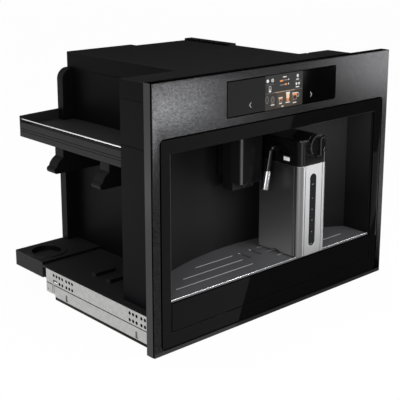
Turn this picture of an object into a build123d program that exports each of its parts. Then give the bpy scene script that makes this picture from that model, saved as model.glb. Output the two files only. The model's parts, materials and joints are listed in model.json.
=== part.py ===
from build123d import *
from math import sqrt
import os

# A built-in coffee machine: a steel and glass front 595 mm wide, an alcove for cups with a sliding
# coffee spout and a milk carafe, a narrower body behind it with an open storage bay on the left and
# a water tank on the right, all hung on two telescopic rails so that it draws out of its niche.
# Millimetres. X to the right seen from the front, Y to the back, Z up. y = 0 is the plane where the
# front panel meets the cabinet, x = 0 its centre and z = 0 its lower edge.

# ---------------------------------------------------------------- clearances and sheets
GAP = 0.3            # pieces that move past each other
RUN_FIT = 0.05       # shafts and pins in their bores
SEAM = 0.6           # visible joint between two covers
SHEET = 1.5          # folded steel sheet
SKIN = 2.5           # moulded covers
FACETS = 12          # sides of the many small round holes and screws
ROUND = 32           # sides of the large round bodies inside, which nothing turns in
RIB = 3.0            # walls of the large mouldings

# ---------------------------------------------------------------- front
PANEL_W = 595.0
PANEL_H = 455.0
PANEL_D = 20.0
PANEL_BEND = 1.2
LINE_W = 2.8         # shadow line round the returns, just behind the face
LINE_D = 0.5
FLANGE_SIDE = 14.0   # folded back edge that meets the cabinet, at the sides
FLANGE_END = 5.0     # the same, above and below
GLASS_W = PANEL_W - 33.0
GLASS_H = PANEL_H - 101.2
GLASS_Z = 9.5
GLASS_R = 8.0
GLASS_T = 4.0
GLASS_GROOVE = 2.0   # dark groove round the glass
MOUTH_W = GLASS_W - 41.0        # alcove mouth in the glass
MOUTH_BOTTOM = 35.0
MOUTH_TOP = GLASS_Z + GLASS_H - 25.6
DISPLAY_W = 275.4
DISPLAY_H = 61.1
DISPLAY_Z = PANEL_H - 75.8
DISPLAY_R = 2.0
DISPLAY_GROOVE = 0.8
SCREEN_W = 95.0
SCREEN_H = 54.0
SCREEN_Z = DISPLAY_Z + 4.3
SCREEN_FRAME = 5.0
BOARD_W = 230.0
BOARD_T = 1.6
CARRIER_T = 5.0

FRONT = -PANEL_D
GLASS_BACK = FRONT + GLASS_T
CARRIER_BACK = GLASS_BACK + CARRIER_T
SHEET_BACK = FRONT + SHEET

# ---------------------------------------------------------------- alcove
ALCOVE_R = 514.0     # plan radius of the curved back wall
ALCOVE_DEEP = 118.0  # its deepest point
CHEEK_T = 1.4
ALCOVE_HALF = MOUTH_W / 2
ALCOVE_CY = ALCOVE_DEEP - ALCOVE_R
CEILING_Z = MOUTH_TOP + GAP
WALL_TOP = PANEL_H - 50.0


def wall_y(x, radius=ALCOVE_R):
    """Where the curved wall stands at a distance x from the middle."""
    return ALCOVE_CY + sqrt(radius**2 - x**2)


# ---------------------------------------------------------------- housing behind the front
COLLAR_T = 1.5
COLLAR_HALF = ALCOVE_HALF + CHEEK_T + COLLAR_T
COLLAR_BACK = 106.0
TOP_Z = PANEL_H - 10.0
SEAM_LOW = MOUTH_TOP - 4.3
SEAM_TOP = TOP_Z - 32.5
TOP_T = 3.0

BODY_LEFT = -140.0
BODY_RIGHT = 177.0
BODY_BACK = 441.0
BACK_STEP_X = 22.0
BACK_STEP = 19.0
BODY_BACK_RIGHT = BODY_BACK - BACK_STEP
COVER_FRONT = -4.0   # top cover's front edge, inside the steel panel
NOTCH_X = 200.0      # notch between the cover and its right corner
NOTCH_W = 8.0
NOTCH_DEPTH = 14.0
LID_CORNER_R = 65.6  # rounded corner of the seam in the cover
VENTS = 10
VENT_W = 4.0
VENT_STEP = 10.0
VENT_RIB_X = 154.0
VENT_RIB_Y = 280.0
VENT_RIB_L = 140.0
VENT_RIB_H = 4.5

# ---------------------------------------------------------------- base
BASE_BOTTOM = 25.0
DECK_Z = 56.0
REAR_DECK_Z = 61.0
REAR_DECK_Y = 343.0
BASE_BACK = 440.0
LEDGE_HALF = PANEL_W / 2 - 20.5
LEDGE_BOTTOM = 30.0       # the rear ledge passes over the rails as the machine draws out
LIP_T = 4.0
CHANNEL_HALF = MOUTH_W / 2 - 8.5   # drawer channel behind the mouth
CHANNEL_FLOOR = MOUTH_BOTTOM + 0.1
CHANNEL_BEND = 102.0      # where the channel narrows
CHANNEL_REAR_HALF = 97.0
CHANNEL_BACK = 253.0
RECESS_X = 41.0 - LEDGE_HALF       # half-ring recess in the rear ledge
RECESS_Y = 391.0
RECESS_R = 29.5
RECESS_W = 13.0
RECESS_DEPTH = 8.0
RIDGE_L = 50.0
RIDGE_W = 14.0
RIDGE_H = 7.0
RIDGE_X = 62.0 - LEDGE_HALF
RIDGE_Y = (230.0, 186.0)

# ---------------------------------------------------------------- rails
RAIL_FACE = PANEL_W / 2 - 16.5
RAIL_SHEET = 1.5
MEMBER_SHEET = 1.2
RAIL_START = 0.5
RAIL_L = 295.0
MEMBER_L = 304.0          # the moving members stand out behind the fixed channel
BRACKET_L = 324.0
RAIL_BOTTOM = 6.5
CHANNEL_TOP = 28.8
RAIL_TOP = 56.0
RAIL_DEPTH = 13.0
RUN = 0.5                 # play between the members
TAB_W = 20.0
TAB_BOTTOM = 10.0
HOLE_R = 3.25
HOLE_SIDES = 8
RAIL_SLOT_W = 7.5
RAIL_SLOT_H = 12.5
STEP_H = 0.8              # line where the bracket is seamed to the channel
STEP_D = 0.6
HOLE_PITCH = 9.4
HOLE_ROWS = (48.3, 36.1)
REAR_HOLES_Y = 238.2      # first hole of the rear group
FRONT_HOLES_Y = 15.6      # first hole of the front group
GROUP_GAP = 13.2          # wider step in the middle of a group
SCREW_Z = 42.0
SCREW_Y = (30.0, 150.0, 270.0)
SCREW_R = 2.0
SCREW_HEAD_R = 4.0
SCREW_HEAD = 2.0

# ---------------------------------------------------------------- storage bay on the left
SHELF_OUT = 22.0 - LEDGE_HALF
SHELF_BOTTOM = 289.0
SHELF_FLOOR = 312.0
SHELF_LIP = 318.0
SHELF_WALL = 330.0
FASCIA_T = 3.0
GROOVE_Z = (301.0, 306.0)
GROOVE_D = 0.8
CHROME_R = 1.3
CHROME_Z = 324.0
CHROME_X = SHELF_OUT + FASCIA_T
UPRIGHT_W = 26.0
UPRIGHT_D = 21.0
UPRIGHT_TOP = TOP_Z - 30.5
UPRIGHT_R = 22.0
HOOK_TOE = 2.0 - LEDGE_HALF
HOOK_BOTTOM = 245.0
HOOK_TOE_R = 5.0
HOOK_TOE_TOP = 257.0
HOOK_ROOT = 274.0
HOOK_W = 27.0
HOOKS_Y = {"front_hook": 164.0, "rear_hook": 305.0}

# ---------------------------------------------------------------- drip tray
TRAY_FRONT_Z = 36.0
TRAY_FRONT_H = 50.0
TRAY_SIDE = 2.0           # play each side of the basin
TRAY_BACK = 100.0
TRAY_REAR_BACK = 250.0
TRAY_WALL = 2.5
TRAY_RIM = 85.0
GRILLE_T = 3.0
GRILLE_LIP = 1.5
GRILLE_LIP_D = 3.0
SLOT_W = 3.0
SLOT_START = 32.0
SLOT_ROWS = ((18.0, 42.5), (45.0, 82.5), (72.0, 134.5))   # y, distance kept from the side
SHORT_SLOT_X = 14.0
SHORT_SLOT_Y = 58.5
SHORT_SLOT_L = 33.0
SHORT_SLOT_W = 6.0
CONTAINER_WALL = 2.0

# ---------------------------------------------------------------- coffee spout
SPOUT_HALF = 29.0
SPOUT_FRONT = 55.0
SPOUT_BACK = 85.0
SPOUT_BOTTOM = 227.0
SPOUT_TOP = WALL_TOP - 13.0
SPOUT_T = 2.0
SPOUT_R = 6.0
CARRIAGE_HALF = 26.0
CARRIAGE_FRONT = 80.0
CARRIAGE_BOTTOM = 211.0
GUIDE_HALF = 34.0
GUIDE_FRONT = 108.0
GUIDE_BOTTOM = 238.0
GUIDE_SLOT_HALF = 8.0
GUIDE_NECK_HALF = 5.0
GUIDE_NECK_D = 3.0
GUIDE_SLOT_D = 4.0
NOZZLE_X = 11.0
NOZZLE_Y = 68.0
NOZZLE_R = 4.5
NOZZLE_BORE = 2.5
NOZZLE_BOTTOM = 219.0
MANIFOLD_Z = 235.0
MANIFOLD_H = 22.0

# ---------------------------------------------------------------- milk carafe
CARAFE_X = 83.0
CARAFE_W = 76.0
CARAFE_FRONT = -22.0
CARAFE_D = 106.0
CARAFE_TOP = 262.7
CARAFE_R = 12.0
CARAFE_REAR_R = 6.0
CARAFE_T = 1.2
LINER_GAP = 2.0
LINER_T = 2.0
WINDOW_X = 81.2
WINDOW_W = 17.0
WINDOW_BOTTOM = 106.0
WINDOW_H = 139.5
WINDOW_T = 2.6
BAND_W = 1.0
BAND_STEP = 15.0
BAND_D = 0.5
ARCH_Y = 35.5        # arch cut in the casing's lower edge
ARCH_W = 23.0
ARCH_H = 3.5
LID_H = 48.0
LID_SEAM = 0.3
LID_BEVEL = 2.5
LID_PLUG = 10.0
DRUM_R = 21.5
DRUM_BACK = 18.0
KNOB_X = 84.0
KNOB_Z = 299.0
KNOB_R = 21.0
KNOB_FRONT = -40.0
KNOB_DISC = 9.0
KNOB_GRIP_L = 35.0
KNOB_GRIP_W = 9.0
KNOB_SHAFT_R = 4.0
KNOB_SHAFT_L = 14.0
PIPE_Y = 38.0
PIPE_Z = 292.0
PIPE_OUT = 14.0
PIPE_TIP_X = 15.0
PIPE_TIP_Z = 215.0
PIPE_R = 4.0
PIPE_BEND = 10.0
PIPE_BORE = 2.4
PIPE_ROOT = 6.0
SLEEVE_R = 5.6
SLEEVE_L = 35.0
INLET_STUB_R = 1.5      # air stub on the pipe
INLET_STUB_Z = 260.0
INLET_STUB_L = 6.0
NICHE_Y = 25.0
NICHE_W = 38.0
NICHE_Z = 290.0
NICHE_H = 18.0
NICHE_D = 7.0
BUTTON_Y = 12.0
BUTTON_Z = 273.5
BUTTON_W = 14.0
BUTTON_H = 7.0
BUTTON_OUT = 1.0
BUTTON_D = 4.0
INTAKE_R = 3.0
INTAKE_BORE = 2.0
INTAKE_BOTTOM = 98.0
DOCK_Z = 284.0
DOCK_R = 6.5
DOCK_SEAL_R = 9.0
DOCK_NUT_R = 11.0

# ---------------------------------------------------------------- water tank on the right
TANK_GAP = 3.0
TANK_OUT = LEDGE_HALF - 16.0
TANK_FRONT = 110.0
TANK_BACK = 240.0
TANK_TOP = 330.0
TANK_WALL = 2.0
TANK_R = 10.0
TANK_LID_T = 6.0
TANK_LUG_L = 15.0
TANK_PIN_R = 1.5
TANK_PIN_L = 6.0
TANK_OUTLET_R = 5.0
TANK_OUTLET_Z = 78.0
HANDLE_OUT = 13.0
HANDLE_L = 70.0
HANDLE_T = 5.0
HANDLE_H = 14.0
HANDLE_Z = 292.0

# ---------------------------------------------------------------- inside the body
CHASSIS_Z = 92.0
CHASSIS_FRONT = 122.0
CHUTE_W = 90.0
CHUTE_D = 60.0
BREW_X = -15.0
BREW_Y = 175.0
BREW_W = 90.0
BREW_D = 84.0
BREW_H = 190.0
BREW_T = 4.0
PISTON_R = 23.0
PISTON_H = 40.0
PISTON_TRAVEL = 50.0
GRINDER_X = 100.0
GRINDER_Y = 185.0
MOTOR_R = 30.0
MOTOR_H = 130.0
BURR_CASE_R = 38.0
BURR_CASE_H = 55.0
BURR_R = 26.0
BURR_H = 24.0
BURR_TEETH = 8
BURR_SHAFT_R = 5.0
HOPPER_W = 104.0
HOPPER_D = 114.0
HOPPER_T = 2.0
HOPPER_WALL_H = 60.0
BEAN_LID_W = 110.0
BEAN_LID_D = 120.0
LID_PIN_R = 0.9
LID_PIN_L = 5.0
BOILER_X = -95.0
BOILER_Y = 340.0
BOILER_R = 32.0
BOILER_H = 120.0
PUMP_X = 110.0
PUMP_Y = 340.0
PUMP_Z = 122.0
PUMP_R = 19.0
PUMP_L = 70.0
POWER_X = -60.0
POWER_W = 130.0
POWER_H = 110.0
POWER_Z = 250.0
INLET_X = 100.0
INLET_Z = 110.0
INLET_W = 28.0
INLET_H = 20.0
INLET_D = 30.0
SWITCH_X = 140.0
SWITCH_W = 20.0
SWITCH_H = 14.0
SWITCH_IN = 4.5
SWITCH_PIN_R = 0.7
SWITCH_PIN_L = 1.5

os.makedirs("parts", exist_ok=True)


def save(piece, name):
    """Label a finished piece and write its file."""
    piece.part.label = name
    export_step(piece.part, f"parts/{name}.step")


def upright(y):
    """Plane that faces the front at depth y: local x is X, local y is Z, and + extrudes forward."""
    return Plane.XZ.offset(-y)


def sideways(x):
    """Plane that faces right at x: local x is Y, local y is Z, and + extrudes to the right."""
    return Plane.YZ.offset(x)


def level(z):
    """Level plane at height z."""
    return Plane.XY.offset(z)


def slot(length, width, turn=0):
    """A slot with bevelled ends, along local x or turned by an angle."""
    with BuildSketch() as shape:
        Rectangle(length - width, width)
        with Locations(((length - width) / 2, 0), (-(length - width) / 2, 0)):
            RegularPolygon(width / 2, 8, major_radius=False, rotation=22.5)
    return shape.sketch.rotate(Axis.Z, turn)


# ================================================================ rails
def hole_columns():
    """Depths of the mounting holes: a front and a rear group, each with a wider step inside it."""
    front = [FRONT_HOLES_Y + HOLE_PITCH * i for i in range(3)]
    front += [front[-1] + GROUP_GAP + HOLE_PITCH * i for i in range(3)]
    rear = [REAR_HOLES_Y + HOLE_PITCH * i for i in range(3)]
    rear += [rear[-1] + GROUP_GAP + HOLE_PITCH * i for i in range(4)]
    return front, rear


FRONT_COLUMNS, REAR_COLUMNS = hole_columns()
SCREWED_COLUMNS = (FRONT_COLUMNS[0], REAR_COLUMNS[4])   # true circles, the rest is eight-sided
MIDDLE_FACE = RAIL_FACE - RAIL_SHEET - RUN
MIDDLE_BOTTOM = RAIL_BOTTOM + RAIL_SHEET + RUN
MIDDLE_TOP = CHANNEL_TOP - RAIL_SHEET - RUN
INNER_FACE = MIDDLE_FACE - MEMBER_SHEET - RUN
INNER_BOTTOM = MIDDLE_BOTTOM + MEMBER_SHEET + RUN
INNER_TOP = MIDDLE_TOP - MEMBER_SHEET - RUN
INNER_WEB = RAIL_FACE - RAIL_DEPTH - RUN          # outer face of the web that carries the machine
SKIRT_HALF = INNER_WEB - RAIL_SHEET               # side of the base that it is screwed to
INNER_RISE = DECK_Z - LIP_T - RUN                 # top of the web, under the ledge

for side, sign in (("left", -1), ("right", 1)):
    # the member that is screwed to the cabinet: a perforated bracket over a C channel
    with BuildPart() as rail_fixed:
        with BuildSketch(upright(RAIL_START)):
            with BuildLine():
                Polyline(
                    (sign * (RAIL_FACE - RAIL_DEPTH), RAIL_BOTTOM),
                    (sign * RAIL_FACE, RAIL_BOTTOM),
                    (sign * RAIL_FACE, CHANNEL_TOP),
                    (sign * (RAIL_FACE - RAIL_DEPTH), CHANNEL_TOP),
                    (sign * (RAIL_FACE - RAIL_DEPTH), CHANNEL_TOP - RAIL_SHEET),
                    (sign * (RAIL_FACE - RAIL_SHEET), CHANNEL_TOP - RAIL_SHEET),
                    (sign * (RAIL_FACE - RAIL_SHEET), RAIL_BOTTOM + RAIL_SHEET),
                    (sign * (RAIL_FACE - RAIL_DEPTH), RAIL_BOTTOM + RAIL_SHEET),
                    close=True,
                )
            make_face()
        extrude(amount=-RAIL_L)
        with BuildSketch(sideways(sign * RAIL_FACE)):
            with Locations((RAIL_START, CHANNEL_TOP)):
                Rectangle(BRACKET_L, RAIL_TOP - CHANNEL_TOP, align=(Align.MIN, Align.MIN))
            with Locations((RAIL_START + BRACKET_L, TAB_BOTTOM)):
                Rectangle(TAB_W, CHANNEL_TOP - TAB_BOTTOM, align=(Align.MAX, Align.MIN))
        extrude(amount=-sign * RAIL_SHEET)
        with BuildSketch(sideways(sign * RAIL_FACE)):
            with Locations([(y, z) for z in HOLE_ROWS for y in FRONT_COLUMNS + REAR_COLUMNS]):
                RegularPolygon(HOLE_R, HOLE_SIDES)
            with Locations([(y, z) for z in HOLE_ROWS for y in SCREWED_COLUMNS]):
                Circle(HOLE_R)
            with Locations(((REAR_COLUMNS[-1] + REAR_COLUMNS[-2]) / 2, HOLE_ROWS[1])):
                Rectangle(HOLE_PITCH, 2 * HOLE_R)
            with Locations((RAIL_START + BRACKET_L - TAB_W / 3, TAB_BOTTOM + 2 * HOLE_R)):
                RegularPolygon(HOLE_R / 2, FACETS)
            with Locations(
                (FRONT_COLUMNS[3], RAIL_BOTTOM + RAIL_SHEET),
                (REAR_COLUMNS[2], RAIL_BOTTOM + RAIL_SHEET),
            ):
                Rectangle(RAIL_SLOT_W, RAIL_SLOT_H, align=(Align.CENTER, Align.MIN))
        extrude(amount=-sign * RAIL_SHEET, mode=Mode.SUBTRACT)
        with BuildSketch(sideways(sign * RAIL_FACE)):
            with Locations((RAIL_START, CHANNEL_TOP)):
                Rectangle(BRACKET_L, STEP_H, align=(Align.MIN, Align.CENTER))
        extrude(amount=-sign * STEP_D, mode=Mode.SUBTRACT)
    save(rail_fixed, f"{side}_rail_fixed")

    # the floating member, a smaller C that runs inside the first
    with BuildPart() as rail_middle:
        with BuildSketch(upright(RAIL_START)):
            with BuildLine():
                Polyline(
                    (sign * (RAIL_FACE - RAIL_DEPTH), MIDDLE_BOTTOM),
                    (sign * MIDDLE_FACE, MIDDLE_BOTTOM),
                    (sign * MIDDLE_FACE, MIDDLE_TOP),
                    (sign * (RAIL_FACE - RAIL_DEPTH), MIDDLE_TOP),
                    (sign * (RAIL_FACE - RAIL_DEPTH), MIDDLE_TOP - MEMBER_SHEET),
                    (sign * (MIDDLE_FACE - MEMBER_SHEET), MIDDLE_TOP - MEMBER_SHEET),
                    (sign * (MIDDLE_FACE - MEMBER_SHEET), MIDDLE_BOTTOM + MEMBER_SHEET),
                    (sign * (RAIL_FACE - RAIL_DEPTH), MIDDLE_BOTTOM + MEMBER_SHEET),
                    close=True,
                )
            make_face()
        extrude(amount=-MEMBER_L)
    save(rail_middle, f"{side}_rail_middle")

    # the member that carries the machine: its web rises behind the ledge and takes the screws
    with BuildPart() as rail_inner:
        with BuildSketch(upright(RAIL_START)):
            with BuildLine():
                Polyline(
                    (sign * INNER_FACE, INNER_BOTTOM),
                    (sign * SKIRT_HALF, INNER_BOTTOM),
                    (sign * SKIRT_HALF, INNER_RISE),
                    (sign * INNER_WEB, INNER_RISE),
                    (sign * INNER_WEB, INNER_TOP),
                    (sign * INNER_FACE, INNER_TOP),
                    (sign * INNER_FACE, INNER_TOP - MEMBER_SHEET),
                    (sign * INNER_WEB, INNER_TOP - MEMBER_SHEET),
                    (sign * INNER_WEB, INNER_BOTTOM + MEMBER_SHEET),
                    (sign * INNER_FACE, INNER_BOTTOM + MEMBER_SHEET),
                    close=True,
                )
            make_face()
        extrude(amount=-MEMBER_L)
        with BuildSketch(sideways(sign * INNER_WEB)):
            with Locations([(y, SCREW_Z) for y in SCREW_Y]):
                RegularPolygon(SCREW_R, FACETS)
        extrude(amount=-sign * RAIL_SHEET, mode=Mode.SUBTRACT)
    save(rail_inner, f"{side}_rail_inner")

# six pan-head screws, three a side, from the inner members into the base
with BuildPart() as rail_screws:
    for sign in (-1, 1):
        with BuildSketch(sideways(sign * INNER_WEB)):
            with Locations([(y, SCREW_Z) for y in SCREW_Y]):
                RegularPolygon(SCREW_HEAD_R, FACETS)
        extrude(amount=sign * SCREW_HEAD)
        with BuildSketch(sideways(sign * INNER_WEB)):
            with Locations([(y, SCREW_Z) for y in SCREW_Y]):
                RegularPolygon(SCREW_R, FACETS)
        extrude(amount=-sign * (RAIL_SHEET + RIB))
save(rail_screws, "rail_screws")

# ================================================================ base
# a deep tray moulding: walls and deck RIB thick, a drawer channel from the front, ledges both sides
with BuildPart() as base_tray:
    with BuildSketch(level(BASE_BOTTOM)):
        with Locations((0, CARRIER_BACK)):
            Rectangle(2 * SKIRT_HALF, BASE_BACK - CARRIER_BACK, align=(Align.CENTER, Align.MIN))
    extrude(amount=DECK_Z - BASE_BOTTOM)
    with BuildSketch(level(LEDGE_BOTTOM)):
        with Locations((0, REAR_DECK_Y)):
            Rectangle(2 * LEDGE_HALF, BASE_BACK - REAR_DECK_Y, align=(Align.CENTER, Align.MIN))
    extrude(amount=DECK_Z - LEDGE_BOTTOM)
    with BuildSketch(level(DECK_Z)):
        with Locations((0, RAIL_START)):
            Rectangle(2 * LEDGE_HALF, REAR_DECK_Y - RAIL_START, align=(Align.CENTER, Align.MIN))
    extrude(amount=-LIP_T)
    # higher deck at the back, outside the body
    with BuildSketch(level(DECK_Z)):
        with Locations((-LEDGE_HALF, REAR_DECK_Y)):
            Rectangle(LEDGE_HALF + BODY_LEFT, BASE_BACK - REAR_DECK_Y, align=(Align.MIN, Align.MIN))
        with Locations((LEDGE_HALF, REAR_DECK_Y)):
            Rectangle(LEDGE_HALF - BODY_RIGHT, BASE_BACK - REAR_DECK_Y, align=(Align.MAX, Align.MIN))
    extrude(amount=REAR_DECK_Z - DECK_Z)
    # hollow from below, around the channel
    with BuildSketch(level(BASE_BOTTOM)):
        with Locations((0, CARRIER_BACK + RIB)):
            Rectangle(
                2 * (SKIRT_HALF - RIB),
                BASE_BACK - CARRIER_BACK - 2 * RIB,
                align=(Align.CENTER, Align.MIN),
            )
        with Locations((0, CARRIER_BACK)):
            Rectangle(
                2 * (CHANNEL_HALF + RIB),
                CHANNEL_BEND + RIB - CARRIER_BACK,
                align=(Align.CENTER, Align.MIN),
                mode=Mode.SUBTRACT,
            )
        with Locations((0, CARRIER_BACK)):
            Rectangle(
                2 * (CHANNEL_REAR_HALF + RIB),
                CHANNEL_BACK + RIB - CARRIER_BACK,
                align=(Align.CENTER, Align.MIN),
                mode=Mode.SUBTRACT,
            )
    extrude(amount=DECK_Z - RIB - BASE_BOTTOM, mode=Mode.SUBTRACT)
    # the drawer channel, open above and in front
    with BuildSketch(level(CHANNEL_FLOOR)):
        with Locations((0, CARRIER_BACK)):
            Rectangle(
                2 * CHANNEL_HALF, CHANNEL_BEND - CARRIER_BACK, align=(Align.CENTER, Align.MIN)
            )
        with Locations((0, CARRIER_BACK)):
            Rectangle(
                2 * CHANNEL_REAR_HALF, CHANNEL_BACK - CARRIER_BACK, align=(Align.CENTER, Align.MIN)
            )
    extrude(amount=DECK_Z - CHANNEL_FLOOR, mode=Mode.SUBTRACT)
    # underside of the channel floor
    with BuildSketch(level(BASE_BOTTOM)):
        with Locations((0, CARRIER_BACK + RIB)):
            Rectangle(
                2 * CHANNEL_HALF,
                CHANNEL_BEND - CARRIER_BACK - RIB,
                align=(Align.CENTER, Align.MIN),
            )
        with Locations((0, CARRIER_BACK + RIB)):
            Rectangle(
                2 * CHANNEL_REAR_HALF,
                CHANNEL_BACK - CARRIER_BACK - RIB,
                align=(Align.CENTER, Align.MIN),
            )
    extrude(amount=CHANNEL_FLOOR - RIB - BASE_BOTTOM, mode=Mode.SUBTRACT)
    # half-ring recess and two ridges on the left ledge
    with BuildSketch(level(REAR_DECK_Z)):
        with Locations((RECESS_X, RECESS_Y)):
            Circle(RECESS_R + RECESS_W / 2)
            Circle(RECESS_R - RECESS_W / 2, mode=Mode.SUBTRACT)
        with Locations((RECESS_X - RECESS_R / 3, RECESS_Y - RECESS_R / 2)):
            Rectangle(RECESS_R, 2 * RECESS_R, align=(Align.CENTER, Align.MAX), mode=Mode.SUBTRACT)
    extrude(amount=-RECESS_DEPTH, mode=Mode.SUBTRACT)
    with BuildSketch(level(DECK_Z)):
        with Locations([(RIDGE_X, y) for y in RIDGE_Y]):
            SlotOverall(RIDGE_L, RIDGE_W)
    extrude(amount=RIDGE_H)
    # pilot holes for the rail screws
    for sign in (-1, 1):
        with BuildSketch(sideways(sign * SKIRT_HALF)):
            with Locations([(y, SCREW_Z) for y in SCREW_Y]):
                RegularPolygon(SCREW_R, FACETS)
        extrude(amount=-sign * (RIB + GAP), mode=Mode.SUBTRACT)
save(base_tray, "base_tray")

# ================================================================ front
GLASS_MIDDLE = GLASS_Z + GLASS_H / 2
DISPLAY_MIDDLE = DISPLAY_Z + DISPLAY_H / 2
MOUTH_H = MOUTH_TOP - MOUTH_BOTTOM
MOUTH_MIDDLE = (MOUTH_TOP + MOUTH_BOTTOM) / 2
PANEL_MIDDLE = PANEL_H / 2

# folded steel panel: face, four returns and a narrow back flange
with BuildPart() as front_panel:
    with BuildSketch(upright(0)):
        with Locations((0, PANEL_MIDDLE)):
            Rectangle(PANEL_W, PANEL_H)
    extrude(amount=PANEL_D)
    fillet(front_panel.faces().sort_by(Axis.Y)[0].edges(), PANEL_BEND)
    with BuildSketch(upright(-SHEET)):
        with Locations((0, PANEL_MIDDLE)):
            Rectangle(PANEL_W - 2 * SHEET, PANEL_H - 2 * SHEET)
    extrude(amount=PANEL_D - 2 * SHEET, mode=Mode.SUBTRACT)
    with BuildSketch(upright(0)):
        with Locations((0, PANEL_MIDDLE)):
            Rectangle(PANEL_W - 2 * FLANGE_SIDE, PANEL_H - 2 * FLANGE_END)
    extrude(amount=SHEET, mode=Mode.SUBTRACT)
    with BuildSketch(upright(FRONT + PANEL_BEND + LINE_W)):
        with Locations((0, PANEL_MIDDLE)):
            Rectangle(PANEL_W, PANEL_H)
            Rectangle(PANEL_W - 2 * LINE_D, PANEL_H - 2 * LINE_D, mode=Mode.SUBTRACT)
    extrude(amount=LINE_W, mode=Mode.SUBTRACT)
    with BuildSketch(upright(FRONT)):
        with Locations((0, GLASS_MIDDLE)):
            RectangleRounded(
                GLASS_W + 2 * GLASS_GROOVE, GLASS_H + 2 * GLASS_GROOVE, GLASS_R + GLASS_GROOVE
            )
        with Locations((0, DISPLAY_MIDDLE)):
            RectangleRounded(
                DISPLAY_W + 2 * DISPLAY_GROOVE, DISPLAY_H + 2 * DISPLAY_GROOVE, DISPLAY_R
            )
    extrude(amount=-SHEET, mode=Mode.SUBTRACT)
save(front_panel, "front_panel")

# plastic carrier behind the sheet: seats for both glasses, windows for alcove and screen
with BuildPart() as panel_carrier:
    with BuildSketch(upright(CARRIER_BACK)):
        with Locations((0, PANEL_MIDDLE)):
            Rectangle(PANEL_W - 2 * SHEET - 2 * RIB, PANEL_H - 2 * SHEET - 2 * RIB)
        with Locations((0, MOUTH_MIDDLE)):
            Rectangle(MOUTH_W + 2 * CHEEK_T, MOUTH_H + 2 * CHEEK_T, mode=Mode.SUBTRACT)
        with Locations((0, SCREEN_Z + SCREEN_H / 2)):
            Rectangle(
                SCREEN_W + 2 * SCREEN_FRAME + 2 * GAP,
                SCREEN_H + 2 * GAP + SCREEN_FRAME,
                mode=Mode.SUBTRACT,
            )
    extrude(amount=CARRIER_BACK - SHEET_BACK)
    with BuildSketch(upright(GLASS_BACK)):
        with Locations((0, GLASS_MIDDLE)):
            RectangleRounded(
                GLASS_W + 2 * GLASS_GROOVE, GLASS_H + 2 * GLASS_GROOVE, GLASS_R + GLASS_GROOVE
            )
        with Locations((0, DISPLAY_MIDDLE)):
            RectangleRounded(
                DISPLAY_W + 2 * DISPLAY_GROOVE, DISPLAY_H + 2 * DISPLAY_GROOVE, DISPLAY_R
            )
    extrude(amount=GLASS_BACK - SHEET_BACK, mode=Mode.SUBTRACT)
save(panel_carrier, "panel_carrier")

# black glass frame round the alcove mouth
with BuildPart() as glass_frame:
    with BuildSketch(upright(GLASS_BACK)):
        with Locations((0, GLASS_MIDDLE)):
            RectangleRounded(GLASS_W, GLASS_H, GLASS_R)
        with Locations((0, MOUTH_MIDDLE)):
            Rectangle(MOUTH_W, MOUTH_H, mode=Mode.SUBTRACT)
    extrude(amount=GLASS_T)
save(glass_frame, "glass_frame")

with BuildPart() as display_glass:
    with BuildSketch(upright(GLASS_BACK)):
        with Locations((0, DISPLAY_MIDDLE)):
            RectangleRounded(DISPLAY_W, DISPLAY_H, DISPLAY_R)
    extrude(amount=GLASS_T)
    chamfer(display_glass.faces().sort_by(Axis.Y)[0].edges(), GAP)
save(display_glass, "display_glass")

# screen behind the glass, on its board with the touch keys' controller and connectors
with BuildPart() as display_module:
    with BuildSketch(upright(CARRIER_BACK)):
        with Locations((0, SCREEN_Z + SCREEN_H / 2)):
            Rectangle(SCREEN_W + 2 * SCREEN_FRAME, SCREEN_H + SCREEN_FRAME)
    extrude(amount=CARRIER_T)
    with BuildSketch(upright(CARRIER_BACK)):
        with Locations((0, SCREEN_Z + SCREEN_H / 2)):
            Rectangle(BOARD_W, SCREEN_H + SCREEN_FRAME)
    extrude(amount=-BOARD_T)
    with BuildSketch(upright(CARRIER_BACK + BOARD_T)):
        with Locations((-BOARD_W / 3, SCREEN_Z + SCREEN_H / 2)):
            Rectangle(BOARD_W / 8, BOARD_W / 8)
        with Locations((BOARD_W / 4, SCREEN_Z + SCREEN_H / 4)):
            Rectangle(BOARD_W / 6, SCREEN_H / 8)
        with Locations((BOARD_W / 4, SCREEN_Z + SCREEN_H * 3 / 4)):
            Rectangle(BOARD_W / 10, SCREEN_H / 6)
    extrude(amount=-BOARD_T)
save(display_module, "display_module")

# ================================================================ alcove
# curved back wall, holed for the steam connector
with BuildPart() as alcove_wall:
    with BuildSketch(level(TRAY_RIM + BOARD_T)):
        with Locations((0, ALCOVE_CY)):
            Circle(ALCOVE_R + SKIN)
            Circle(ALCOVE_R, mode=Mode.SUBTRACT)
        Rectangle(2 * ALCOVE_HALF, 2 * (ALCOVE_DEEP + SKIN), mode=Mode.INTERSECT)
    extrude(amount=WALL_TOP - TRAY_RIM - BOARD_T)
    with BuildSketch(upright(ALCOVE_DEEP + SKIN)):
        with Locations((CARAFE_X, DOCK_Z)):
            Circle(DOCK_R + GAP)
    extrude(amount=2 * SKIN + DOCK_NUT_R, mode=Mode.SUBTRACT)
save(alcove_wall, "alcove_wall")

for side, sign in (("left", -1), ("right", 1)):
    with BuildPart() as cheek:
        with BuildSketch(level(DECK_Z)):
            with Locations((sign * (ALCOVE_HALF + CHEEK_T / 2), CARRIER_BACK)):
                Rectangle(
                    CHEEK_T,
                    wall_y(ALCOVE_HALF, ALCOVE_R + SKIN) - CARRIER_BACK,
                    align=(Align.CENTER, Align.MIN),
                )
        extrude(amount=CEILING_Z - DECK_Z)
    save(cheek, f"{side}_alcove_cheek")

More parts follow.
